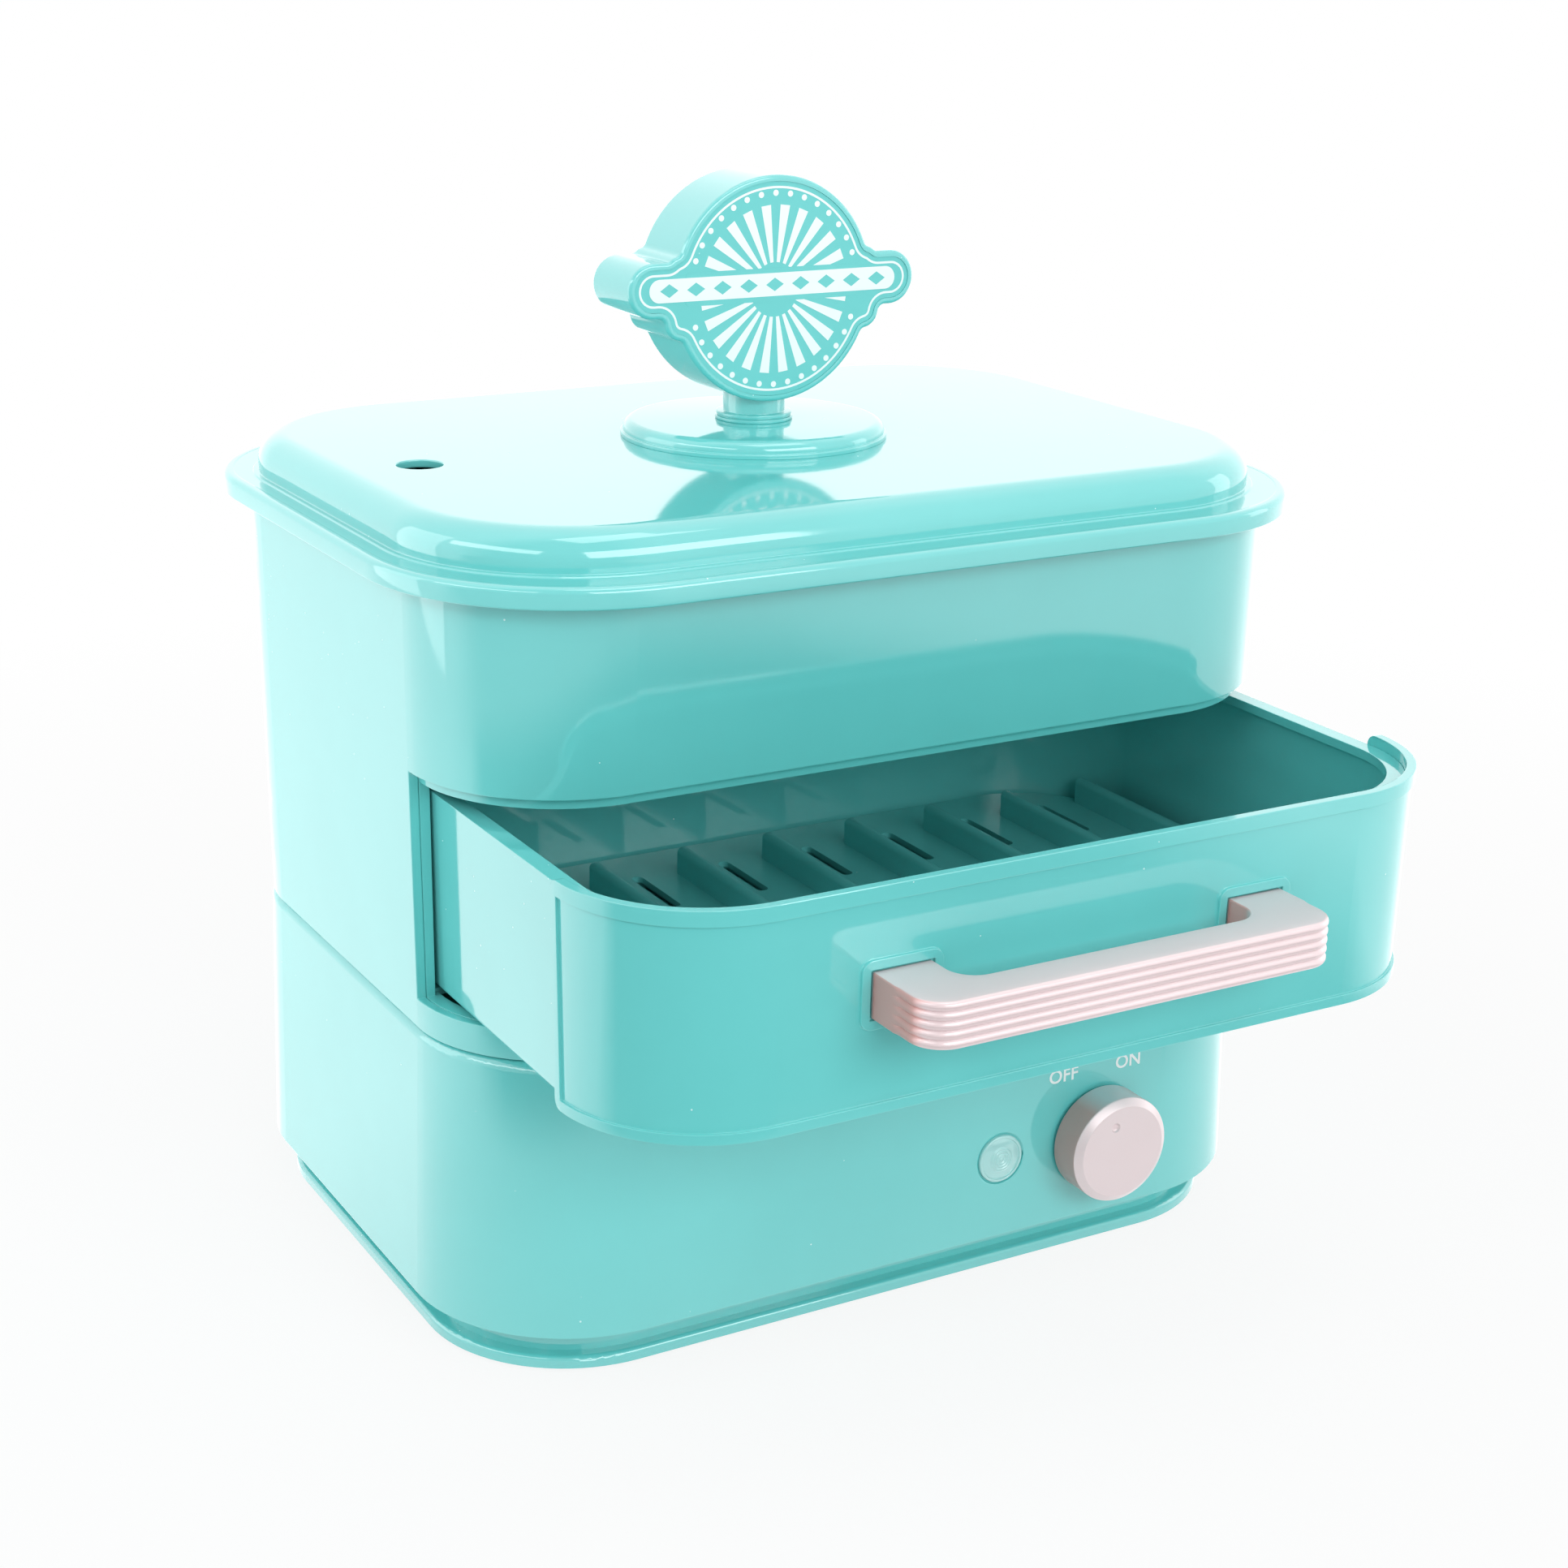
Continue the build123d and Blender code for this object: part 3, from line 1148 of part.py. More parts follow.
def flat_half():
    """One half of the sign, lying on its open side."""
    with BuildPart() as half:
        add(sign_outline(0))
        extrude(amount=sign_depth / 2)
        fillet(half.faces().sort_by(Axis.Z)[-1].edges(), sign_edge)
        add(sign_outline(0, sign_wall))
        extrude(amount=sign_depth / 2 - sign_wall, mode=Mode.SUBTRACT)
        add(sign_outline(sign_depth / 2 - face_depth, face_border))
        extrude(amount=2 * face_depth, mode=Mode.SUBTRACT)
    return half.part


def flat_plate():
    """The plate let into one face of the sign, lying at its own height."""
    with BuildPart() as inlay:
        add(sign_outline(sign_depth / 2 - face_depth, face_border + seat_gap))
        extrude(amount=face_plate_thickness)
    return inlay.part


def upright(solid, side):
    """Stand a flat piece of the sign up; side is -1 for the front and 1 for the back."""
    standing = Plane(origin=(0, 0, sign_centre_z), x_dir=(-side, 0, 0), z_dir=(0, side, 0))
    with BuildPart() as piece:
        with Locations(standing):
            add(solid)
        with BuildSketch(Plane.XY.offset(sign_foot_z - 1)):
            Circle(stem_radius + seat_gap)
        extrude(amount=stem_into_sign + 1, mode=Mode.SUBTRACT)
    return piece


finish(upright(flat_half(), -1), "sign_front_shell")
finish(upright(flat_half(), 1), "sign_back_shell")
finish(upright(flat_plate(), -1), "sign_front_face")
finish(upright(flat_plate(), 1), "sign_back_face")
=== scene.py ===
# %% [markdown]
# # A countertop hot dog steamer
# The steamer is a stack of moulded plastic pieces: a base with a water tank, a tower with a
# drawer, a bun tray, and a domed lid with a sign for a grip. The CAD model gives every piece its
# size and place. This lesson gives the pieces their finishes, rebuilds the ones whose fine shape
# carries the highlights, and lights them. Everything is in metres, X right, Y back and Z up.

# %% Load the frame
import json
import math

import bmesh
import bpy
from mathutils import Matrix, Vector


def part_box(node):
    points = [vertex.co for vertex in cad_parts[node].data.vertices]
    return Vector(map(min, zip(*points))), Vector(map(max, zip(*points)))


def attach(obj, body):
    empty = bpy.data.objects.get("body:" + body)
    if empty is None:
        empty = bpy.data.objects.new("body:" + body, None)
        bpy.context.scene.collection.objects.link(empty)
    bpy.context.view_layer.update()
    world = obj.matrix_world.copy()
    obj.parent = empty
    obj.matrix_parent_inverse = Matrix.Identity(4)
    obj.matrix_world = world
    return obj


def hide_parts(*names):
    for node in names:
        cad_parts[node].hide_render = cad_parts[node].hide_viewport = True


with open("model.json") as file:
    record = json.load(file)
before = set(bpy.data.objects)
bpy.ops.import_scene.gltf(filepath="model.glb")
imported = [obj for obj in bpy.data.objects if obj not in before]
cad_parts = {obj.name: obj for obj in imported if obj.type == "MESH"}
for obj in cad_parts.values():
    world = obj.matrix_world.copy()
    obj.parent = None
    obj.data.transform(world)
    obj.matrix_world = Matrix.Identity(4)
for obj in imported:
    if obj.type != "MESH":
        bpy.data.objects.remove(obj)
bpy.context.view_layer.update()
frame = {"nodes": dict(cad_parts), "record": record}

MM = 0.001
scene = bpy.context.scene
scene.view_settings.view_transform = "Standard"

# %% [markdown]
# ## Camera
# A camera is a place, a direction and a lens. The place and the three angles are set directly,
# because a steamer seen from its front left corner, a little from above, shows the lid, the left
# wall and the open drawer at once. The small roll keeps the uprights where the eye expects them.

# %% Camera
CAMERA_PLACE = Vector((-417.18, -752.56, 427.81)) * MM
CAMERA_TURN, CAMERA_DIP, CAMERA_ROLL = (math.radians(a) for a in (29.778, 18.409, 0.896))
CAMERA_LENS, CAMERA_SENSOR = 61.72, 36

ahead = Vector((math.sin(CAMERA_TURN) * math.cos(CAMERA_DIP),
                math.cos(CAMERA_TURN) * math.cos(CAMERA_DIP), -math.sin(CAMERA_DIP)))
level = Vector((math.cos(CAMERA_TURN), -math.sin(CAMERA_TURN), 0))
above = level.cross(ahead)
right = level * math.cos(CAMERA_ROLL) + above * math.sin(CAMERA_ROLL)
above = above * math.cos(CAMERA_ROLL) - level * math.sin(CAMERA_ROLL)
camera = bpy.data.objects.new("camera", bpy.data.cameras.new("camera"))
camera.data.lens, camera.data.sensor_width = CAMERA_LENS, CAMERA_SENSOR
pose = Matrix((right, above, -ahead)).transposed().to_4x4()
pose.translation = CAMERA_PLACE
camera.matrix_world = pose
scene.collection.objects.link(camera)
scene.camera = camera
print("camera looks along", [round(v, 3) for v in ahead])

# %% [markdown]
# ## Small helpers for node trees
# Every material and every Geometry Nodes tree below is built from the same few moves: add a node,
# give its inputs a number or a link. These helpers keep the recipes short. An input that is given
# a socket is linked, and one that is given a number or a colour is set on the socket itself.

# %% Node helpers
def add_node(tree, kind, inputs=(), **settings):
    """Add a node, set its properties, and fill its inputs by name or number."""
    node = tree.nodes.new(kind)
    for name, value in settings.items():
        setattr(node, name, value)
    for key, value in dict(inputs).items():
        if isinstance(value, bpy.types.NodeSocket):
            tree.links.new(value, node.inputs[key])
        elif value is not None:
            node.inputs[key].default_value = value
    return node


def maths(tree, operation, a, b=None, c=None):
    return add_node(tree, "ShaderNodeMath", {0: a, 1: b, 2: c}, operation=operation).outputs[0]


def times(tree, first, *others):
    for other in others:
        first = maths(tree, "MULTIPLY", first, other)
    return first


def vectors(tree, operation, a, b=None, scale=None):
    node = add_node(tree, "ShaderNodeVectorMath", {0: a, 1: b, "Scale": scale}, operation=operation)
    return node.outputs["Value" if operation in ("DOT_PRODUCT", "LENGTH") else "Vector"]


def xyz(tree, x=None, y=None, z=None):
    return add_node(tree, "ShaderNodeCombineXYZ", {0: x, 1: y, 2: z}).outputs[0]


def split(tree, vector):
    return add_node(tree, "ShaderNodeSeparateXYZ", {0: vector}).outputs


def ramp(tree, value, low, high, start=0.0, end=1.0, **settings):
    """Goes from start to end while the value goes from low to high, and stays level outside them."""
    return add_node(tree, "ShaderNodeMapRange", {
        "Value": value, "From Min": low, "From Max": high, "To Min": start, "To Max": end},
        **settings).outputs["Result"]


def mix_colours(tree, share, first, second):
    first, second = ((*colour, 1) if isinstance(colour, tuple) else colour for colour in (first, second))
    return add_node(tree, "ShaderNodeMix", {0: share, 6: first, 7: second}, data_type="RGBA").outputs[2]


def object_place(tree):
    return add_node(tree, "ShaderNodeTexCoord").outputs["Object"]


# %% [markdown]
# ## Effects that several finishes share
# Injection-moulded plastic is glossy but never a perfect mirror: the mould's polish leaves a very
# shallow orange peel, the colour drifts a little, and a few specks of dust settle on it. Brushed
# and cast metals have a direction or a grain instead. Each effect is one shader group, built once,
# that puts out masks and heights only. The shader itself stays in the material.

# %% Shader groups
def new_shader_group(name, inputs, outputs):
    group = bpy.data.node_groups.new(name, "ShaderNodeTree")
    for label, value in inputs.items():
        group.interface.new_socket(label, in_out="INPUT", socket_type="NodeSocketFloat").default_value = value
    for label in outputs:
        group.interface.new_socket(label, in_out="OUTPUT", socket_type="NodeSocketFloat")
    return group, group.nodes.new("NodeGroupInput").outputs, group.nodes.new("NodeGroupOutput").inputs


def noise(tree, place, scale, **more):
    return add_node(tree, "ShaderNodeTexNoise", {"Vector": place, "Scale": scale, **more}).outputs["Fac"]


SPECK_SIZE = 0.085


def moulded_skin():
    """Orange peel, drifting tone and sparse dust specks of a moulded surface."""
    group, given, result = new_shader_group(
        "moulded_skin", {"Peel Scale": 420.0, "Drift Scale": 14.0, "Dust Scale": 260.0, "Dust": 0.12},
        ("Height", "Tone", "Specks"))
    place = object_place(group)
    peel = noise(group, place, given["Peel Scale"], Detail=2.0, Roughness=0.45)
    drift = noise(group, place, given["Drift Scale"], Detail=3.0, Roughness=0.55)
    dust = add_node(group, "ShaderNodeTexVoronoi", {"Vector": place, "Scale": given["Dust Scale"],
                                                    "Randomness": 1.0}).outputs
    pick = add_node(group, "ShaderNodeSeparateColor", {0: dust["Color"]}).outputs
    rare = maths(group, "LESS_THAN", pick[0], given["Dust"])
    near = maths(group, "LESS_THAN", dust["Distance"], times(group, pick[1], SPECK_SIZE))
    for label, value in (("Height", peel), ("Tone", drift), ("Specks", times(group, rare, near))):
        group.links.new(value, result[label])
    return group


def metal_grain():
    """Fine lines drawn out along one direction, as brushing or rolling leaves them."""
    group, given, result = new_shader_group(
        "metal_grain", {"Scale": 900.0, "Stretch X": 1.0, "Stretch Y": 1.0, "Stretch Z": 1.0},
        ("Height", "Tone"))
    place = object_place(group)
    stretch = xyz(group, *(given["Stretch " + axis] for axis in "XYZ"))
    lines = noise(group, vectors(group, "MULTIPLY", place, stretch), given["Scale"], Detail=3.0)
    group.links.new(lines, result["Height"])
    group.links.new(noise(group, place, 45.0, Detail=2.0), result["Tone"])
    return group


MOULDED_SKIN = moulded_skin()
METAL_GRAIN = metal_grain()
print("shader groups:", MOULDED_SKIN.name, METAL_GRAIN.name)

# %% [markdown]
# ## Finishes
# Each finish is a Principled shader whose constant numbers sit on its own sockets. What changes
# over the surface comes from a shared group: the colour moves between two close tones, the
# roughness rises a little on specks, and a very shallow bump carries the peel or the grain.
# The plastics are dielectrics with a clear gloss, the handle and knob are plastic with a silver
# paint, and the hidden metal parts are bare metal.

# %% Finish helper
DUST_COLOUR, DUST_ROUGHNESS = (0.9, 0.97, 0.97), 0.4


def new_finish(name, tones, roughness, group, group_values, bump=0.0, rough_gain=0.05,
               speck_light=0.0, **constants):
    """A material with two close tones, a roughness range and a bump, all from one shared group."""
    material = bpy.data.materials.new(name)
    material.use_nodes = True
    tree = material.node_tree
    shader = tree.nodes["Principled BSDF"].inputs
    for key, value in constants.items():
        shader[key.replace("_", " ")].default_value = value
    effect = add_node(tree, "ShaderNodeGroup", node_tree=group)
    for key, value in group_values.items():
        effect.inputs[key].default_value = value
    effect = effect.outputs
    colour = mix_colours(tree, ramp(tree, effect["Tone"], 0.35, 0.65), *tones)
    rough = ramp(tree, effect["Tone"], 0.3, 0.7, roughness, roughness + rough_gain)
    if speck_light:
        colour = mix_colours(tree, times(tree, effect["Specks"], speck_light), colour, DUST_COLOUR)
        rough = maths(tree, "MULTIPLY_ADD", effect["Specks"], DUST_ROUGHNESS, rough)
    tree.links.new(colour, shader["Base Color"])
    tree.links.new(rough, shader["Roughness"])
    if bump:
        dent = add_node(tree, "ShaderNodeBump", {"Height": effect["Height"], "Distance": bump * MM,
                                                 "Strength": 1.0})
        tree.links.new(dent.outputs["Normal"], shader["Normal"])
    return material


# %% Finishes of the plastics and the paint
AQUA = ((0.138, 0.600, 0.590), (0.150, 0.625, 0.615))
MOULDED = {
    "aqua_gloss": (AQUA, 0.055, {"Dust": 0.10}, dict(bump=0.0035, rough_gain=0.03, speck_light=0.5, IOR=1.8)),
    "aqua_satin": (AQUA, 0.22, {"Peel Scale": 900.0, "Dust": 0.05},
                   dict(bump=0.01, speck_light=0.3, IOR=1.5)),
    "sign_print": (((0.135, 0.58, 0.57), (0.15, 0.61, 0.60)), 0.16, {"Dust": 0.05},
                   dict(bump=0.002, speck_light=0.3)),
    "white_print": (((0.86, 0.90, 0.90), (0.90, 0.93, 0.93)), 0.2, {"Dust": 0.03}, dict(bump=0.002)),
    "silver_paint": (((0.735, 0.605, 0.62), (0.77, 0.64, 0.655)), 0.32, {"Peel Scale": 2600.0, "Dust": 0.06},
                     dict(bump=0.004, speck_light=0.25, Metallic=0.22, Coat_Weight=0.2, Coat_Roughness=0.15)),
    "black_rubber": (((0.018, 0.018, 0.019), (0.028, 0.028, 0.03)), 0.62, {"Peel Scale": 1500.0},
                     dict(bump=0.03, rough_gain=0.12)),
    "grey_silicone": (((0.30, 0.31, 0.32), (0.36, 0.37, 0.38)), 0.5, {"Peel Scale": 1200.0},
                      dict(bump=0.02, rough_gain=0.1)),
    "black_plastic": (((0.02, 0.02, 0.022), (0.03, 0.03, 0.033)), 0.34, {"Peel Scale": 1800.0},
                      dict(bump=0.015, rough_gain=0.1)),
    "white_plastic": (((0.78, 0.78, 0.76), (0.82, 0.82, 0.80)), 0.3, {"Peel Scale": 1400.0},
                      dict(bump=0.01, rough_gain=0.08)),
    "brown_wire": (((0.16, 0.07, 0.03), (0.20, 0.09, 0.04)), 0.4, {"Peel Scale": 1600.0},
                   dict(bump=0.01, rough_gain=0.1)),
    "blue_wire": (((0.02, 0.09, 0.36), (0.03, 0.12, 0.42)), 0.4, {"Peel Scale": 1600.0},
                  dict(bump=0.01, rough_gain=0.1)),
    "clear_lens": (((0.47, 0.86, 0.85), (0.53, 0.89, 0.88)), 0.07, {"Dust": 0.05},
                   dict(rough_gain=0.03, Transmission_Weight=0.2, IOR=1.8)),
    "lamp_glass": (((0.95, 0.72, 0.55), (0.97, 0.78, 0.6)), 0.04, {"Dust": 0.02},
                   dict(rough_gain=0.02, Transmission_Weight=0.8, IOR=1.5))}
FINISH = {name: new_finish(name, tones, roughness, MOULDED_SKIN, skin, **settings)
          for name, (tones, roughness, skin, settings) in MOULDED.items()}


def add_painted_side_shade(material, side_shade_colour):
    """Painted shade: faces that look neither to the front nor up get a darker, pinker colour mixed into the
    paint's own.
    """
    tree = material.node_tree
    colour = tree.nodes["Principled BSDF"].inputs["Base Color"]
    way = split(tree, add_node(tree, "ShaderNodeTexCoord").outputs["Normal"])
    not_flat_on = ramp(tree, maths(tree, "ABSOLUTE", way["Y"]), 0.15, 0.5, 1.0, 0.0)
    not_on_top = ramp(tree, way["Z"], 0.8, 0.97, 1.0, 0.0)
    mixed = mix_colours(tree, times(tree, not_flat_on, not_on_top), colour.links[0].from_socket, side_shade_colour)
    tree.links.new(mixed, colour)


# Painted shade on the sides of the handle and knob: a darker, pinker colour mixed in by face direction.
add_painted_side_shade(FINISH["silver_paint"], (0.72, 0.37, 0.35))

# %% Finishes of the metals
BARE = {
    "screw_steel": (((0.50, 0.49, 0.47), (0.58, 0.57, 0.55)), 0.28, (1, 1, 1)),
    "tank_steel": (((0.55, 0.55, 0.55), (0.62, 0.62, 0.61)), 0.24, (0.06, 1, 1)),
    "heater_aluminium": (((0.66, 0.66, 0.66), (0.74, 0.74, 0.73)), 0.42, (1, 1, 1)),
    "element_steel": (((0.33, 0.30, 0.27), (0.42, 0.38, 0.34)), 0.38, (1, 1, 1)),
    "shaft_steel": (((0.52, 0.51, 0.49), (0.60, 0.59, 0.57)), 0.22, (1, 0.08, 1))}
for name, (tones, roughness, stretch) in BARE.items():
    FINISH[name] = new_finish(name, tones, roughness, METAL_GRAIN,
                              {"Stretch " + axis: value for axis, value in zip("XYZ", stretch)},
                              bump=0.008, rough_gain=0.14, Metallic=1.0)
print(len(FINISH), "finishes")

# %% [markdown]
# ## Carried-over pieces
# Most shells come straight from the CAD model, because their walls, fillets and clearances are
# already exact there. A piece keeps its mesh and only has its material slots filled from the
# record, which names a finish for each piece.

# %% Finishes on the carried-over pieces
for part in frame["record"]["subparts"]:
    shell = frame["nodes"][part["node"]]
    finish = FINISH[part["material_slot"]]
    if not shell.material_slots:
        shell.data.materials.append(finish)
    for place in shell.material_slots:
        place.material = finish

# %% [markdown]
# A mould leaves no knife edges. On the real shells every edge has a radius of a few tenths of a
# millimetre, and that radius draws the thin bright line that makes an edge readable. The CAD
# edges are sharp, so the large shells get a weld, a planar dissolve and a two-step bevel as
# modifiers, and weighted normals keep the wide faces flat beside it. The weld also takes out
# steps of a tenth of a millimetre, because a bevel that is wider than a step folds over it.

# %% Soft mould edges on the large shells
def soften_edges(name, width):
    add = frame["nodes"][name].modifiers.new
    add("weld", "WELD").merge_threshold = 0.12 * MM
    flat = add("flat_faces", "DECIMATE")
    flat.decimate_type, flat.angle_limit = "DISSOLVE", math.radians(0.3)
    edge = add("mould_edge", "BEVEL")
    edge.width, edge.segments, edge.limit_method = width * MM, 2, "ANGLE"
    edge.angle_limit, edge.use_clamp_overlap = math.radians(32), False
    add("flat_shading", "WEIGHTED_NORMAL").keep_sharp = True


SOFT_EDGES = {"tower_shell": 0.4, "base_housing": 0.4, "drawer_front": 0.22, "drawer_tray": 0.18,
              "drawer_frame": 0.25}
for name, width in SOFT_EDGES.items():
    soften_edges(name, width)
print("soft edges on", ", ".join(SOFT_EDGES))

# %% [markdown]
# ## Geometry Nodes for moulded shapes
# A moulding follows a rule: one cross-section goes round one outline. The lid, the disc under the
# sign, the lens, the knob and the handle are all this. The cross-section is a row of points that
# say how far in from the outline, how far over from the outer outline to the inner one, and how
# high. The tree lays a grid whose columns follow the outline and whose rows follow the
# cross-section, and looks both up by index. Curve to Mesh would be shorter, but it can't change
# from one outline to another on the way up, as the lid does.

# %% Tree helpers
def new_tree(name, inputs, outputs=(("Mesh", "Geometry"),)):
    """An empty Geometry Nodes tree. An input is given its default number, or its kind where it has none."""
    tree = bpy.data.node_groups.new(name, "GeometryNodeTree")
    for label, value in inputs.items():
        kind = value if isinstance(value, str) else {int: "Int", float: "Float"}[type(value)]
        socket = tree.interface.new_socket(label, in_out="INPUT", socket_type="NodeSocket" + kind)
        if value != kind:
            socket.default_value = value
    for label, kind in outputs:
        tree.interface.new_socket(label, in_out="OUTPUT", socket_type="NodeSocket" + kind)
    return tree, tree.nodes.new("NodeGroupInput").outputs, tree.nodes.new("NodeGroupOutput").inputs


def use_tree(tree, group, inputs):
    return add_node(tree, "GeometryNodeGroup", inputs, node_tree=group).outputs


def geo(tree, kind, inputs=(), **settings):
    """The first output of a new Geometry Nodes node."""
    return add_node(tree, "GeometryNode" + kind, inputs, **settings).outputs[0]


def mesh_of(tree, piece):
    return add_node(tree, "GeometryNodeObjectInfo", {"Object": piece}).outputs["Geometry"]


def shift(tree, mesh, offset):
    return geo(tree, "SetPosition", {"Geometry": mesh, "Offset": offset})


def join(tree, *meshes):
    whole = add_node(tree, "GeometryNodeJoinGeometry")
    for mesh in meshes:
        tree.links.new(mesh, whole.inputs[0])
    return whole.outputs[0]


def point_away(tree, normal, place):
    """A normal, turned so that it points away from the middle."""
    sign = maths(tree, "SIGN", vectors(tree, "DOT_PRODUCT", normal, place))
    return vectors(tree, "SCALE", normal, scale=sign)


def close_up(piece, merge=0.0):
    """Turn a closed mesh the right way out and say how large it is."""
    work = bmesh.new()
    work.from_mesh(piece.data)
    if merge:
        bmesh.ops.remove_doubles(work, verts=work.verts, dist=merge)
    bmesh.ops.holes_fill(work, edges=[edge for edge in work.edges if edge.is_boundary])
    open_edges = sum(not edge.is_manifold for edge in work.edges)
    bmesh.ops.recalc_face_normals(work, faces=work.faces)
    volume = work.calc_volume(signed=True)
    work.to_mesh(piece.data)
    work.free()
    print(f"{piece.name}: {len(piece.data.polygons)} faces, {open_edges} open edges, "
          f"{abs(volume) * 1e6:.3f} ml")
    return piece


def grow(name, tree, finish, sizes, matrix=Matrix()):
    """Run a tree once and keep the result as a plain closed mesh on an object of its own."""
    seed = bpy.data.objects.new(name + "_seed", bpy.data.meshes.new(name + "_seed"))
    scene.collection.objects.link(seed)
    modifier = seed.modifiers.new("tree", "NODES")
    modifier.node_group = tree
    values = {**sizes, "Finish": FINISH[finish]}
    for item in tree.interface.items_tree:
        if item.in_out == "INPUT" and item.name in values:
            modifier[item.identifier] = values[item.name]
    graph = bpy.context.evaluated_depsgraph_get()
    mesh = bpy.data.meshes.new_from_object(seed.evaluated_get(graph), depsgraph=graph)
    mesh.name = name
    seed.modifiers.remove(modifier)
    bpy.data.objects.remove(seed)
    mesh.transform(matrix)
    return close_up(bpy.data.objects.new(name, mesh))


def place_piece(piece, body, slot, *replaced):
    """Put a finished piece in the scene, on its body, and hide the CAD parts it replaces. The slot argument
    is not used.
    """
    scene.collection.objects.link(piece)
    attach(piece, body)
    if replaced:
        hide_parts(*replaced)


def row_of_points(name, points):
    """A hidden helper object whose vertices hold one cross-section: in, over, up."""
    mesh = bpy.data.meshes.new(name)
    mesh.from_pydata([(inset * MM, over, up * MM) for inset, over, up in points], [], [])
    return bpy.data.objects.new(name, mesh)


# %% A tree for outlines
def outline_tree():
    """A rectangle with round corners, the same number of points whatever its size."""
    tree, given, result = new_tree("rounded_outline", {
        "Width": 0.1, "Depth": 0.1, "Radius": 0.01, "Steps": 16}, (("Curve", "Geometry"),))
    sharp = geo(tree, "CurvePrimitiveQuadrilateral", {"Width": given["Width"], "Height": given["Depth"]})
    line = geo(tree, "FilletCurve", {
        "Curve": sharp, "Radius": given["Radius"], "Count": given["Steps"]}, mode="POLY")
    tree.links.new(geo(tree, "SetCurveNormal", {"Curve": line}, mode="Z_UP"), result["Curve"])
    return tree


ROUNDED_OUTLINE = outline_tree()


def rounded(tree, *sizes):
    """An outline from its width, depth, corner radius and steps to a corner."""
    return use_tree(tree, ROUNDED_OUTLINE, dict(zip(("Width", "Depth", "Radius", "Steps"), sizes)))[0]


def circle_line(tree, steps, radius):
    return geo(tree, "CurvePrimitiveCircle", {"Resolution": steps, "Radius": radius})


# %% A tree that carries a cross-section round two outlines
def loft_tree():
    tree, given, result = new_tree("moulded_loft", {
        "Outer": "Geometry", "Inner": "Geometry", "Section": "Geometry", "Closed": 1},
        (("Mesh", "Geometry"), ("Outward", "Vector"), ("Over", "Float")))
    around = geo(tree, "AttributeDomainSize", {0: given["Outer"]}, component="CURVE")
    rows = geo(tree, "AttributeDomainSize", {0: given["Section"]}, component="MESH")
    columns = maths(tree, "ADD", around, given["Closed"])
    grid = geo(tree, "MeshGrid", {"Vertices X": columns, "Vertices Y": rows})
    index = geo(tree, "InputIndex")
    column = maths(tree, "FLOOR", maths(tree, "DIVIDE", maths(tree, "ADD", index, 0.5), rows))
    row = maths(tree, "SUBTRACT", index, times(tree, column, rows))
    column = maths(tree, "MODULO", column, around)
    here = geo(tree, "InputPosition")

    def look_up(source, value, at):
        whole = add_node(tree, "FunctionNodeFloatToInt", {0: at}, rounding_mode="ROUND").outputs[0]
        return geo(tree, "SampleIndex", {"Geometry": source, "Value": value, "Index": whole},
                   data_type="FLOAT_VECTOR", domain="POINT")

    outer = look_up(given["Outer"], here, column)
    inner = look_up(given["Inner"], here, column)
    outward = point_away(tree, look_up(given["Outer"], geo(tree, "InputNormal"), column), outer)
    section = split(tree, look_up(given["Section"], here, row))
    between = vectors(tree, "ADD", outer,
                      vectors(tree, "SCALE", vectors(tree, "SUBTRACT", inner, outer), scale=section["Y"]))
    moved = vectors(tree, "SUBTRACT", between, vectors(tree, "SCALE", outward, scale=section["X"]))
    shaped = geo(tree, "SetPosition", {
        "Geometry": grid, "Position": vectors(tree, "ADD", moved, xyz(tree, z=section["Z"]))})
    for label, value in (("Mesh", shaped), ("Outward", outward), ("Over", section["Y"])):
        tree.links.new(value, result[label])
    return tree


MOULDED_LOFT = loft_tree()


def carry(tree, section, outer, inner=None, **more):
    """Carry an object's cross-section round one outline, or from an outer one to an inner one."""
    return use_tree(tree, MOULDED_LOFT, {"Outer": outer, "Inner": outer if inner is None else inner,
                                         "Section": mesh_of(tree, section), **more})


# %% A tree for a flat face with one hole
def holed_sheet_tree():
    tree, given, result = new_tree("holed_sheet", {
        "Line": "Geometry", "Hole Place": "Vector", "Hole Radius": 0.005, "Hole Steps": 48},
        (("Mesh", "Geometry"), ("Hole Line", "Geometry")))
    circle = circle_line(tree, given["Hole Steps"], given["Hole Radius"])
    lines = join(tree, given["Line"], shift(tree, circle, given["Hole Place"]))
    tree.links.new(geo(tree, "FillCurve", {0: lines}, mode="TRIANGLES"), result["Mesh"])
    tree.links.new(circle, result["Hole Line"])
    return tree


HOLED_SHEET = holed_sheet_tree()


# %% A tree for the last touches
def finish_tree():
    """Merge seams and poles, smooth all but the crisp edges, and set the material."""
    tree, given, result = new_tree("finish_piece", {
        "Mesh": "Geometry", "Crease": 0.7, "Finish": "Material"})
    merged = geo(tree, "MergeByDistance", {"Geometry": given["Mesh"], "Distance": 4e-6})
    smooth = geo(tree, "SetShadeSmooth", {"Geometry": merged, "Shade Smooth": True}, domain="FACE")
    angle = add_node(tree, "GeometryNodeInputMeshEdgeAngle").outputs["Unsigned Angle"]
    crisp = geo(tree, "SetShadeSmooth", {
        "Geometry": smooth, "Selection": maths(tree, "GREATER_THAN", angle, given["Crease"]),
        "Shade Smooth": False}, domain="EDGE")
    whole = geo(tree, "RealizeInstances", {0: crisp})
    tree.links.new(geo(tree, "SetMaterial", {"Geometry": whole, "Material": given["Finish"]}), result["Mesh"])
    return tree


FINISH_PIECE = finish_tree()
print("trees:", ROUNDED_OUTLINE.name, MOULDED_LOFT.name, FINISH_PIECE.name)


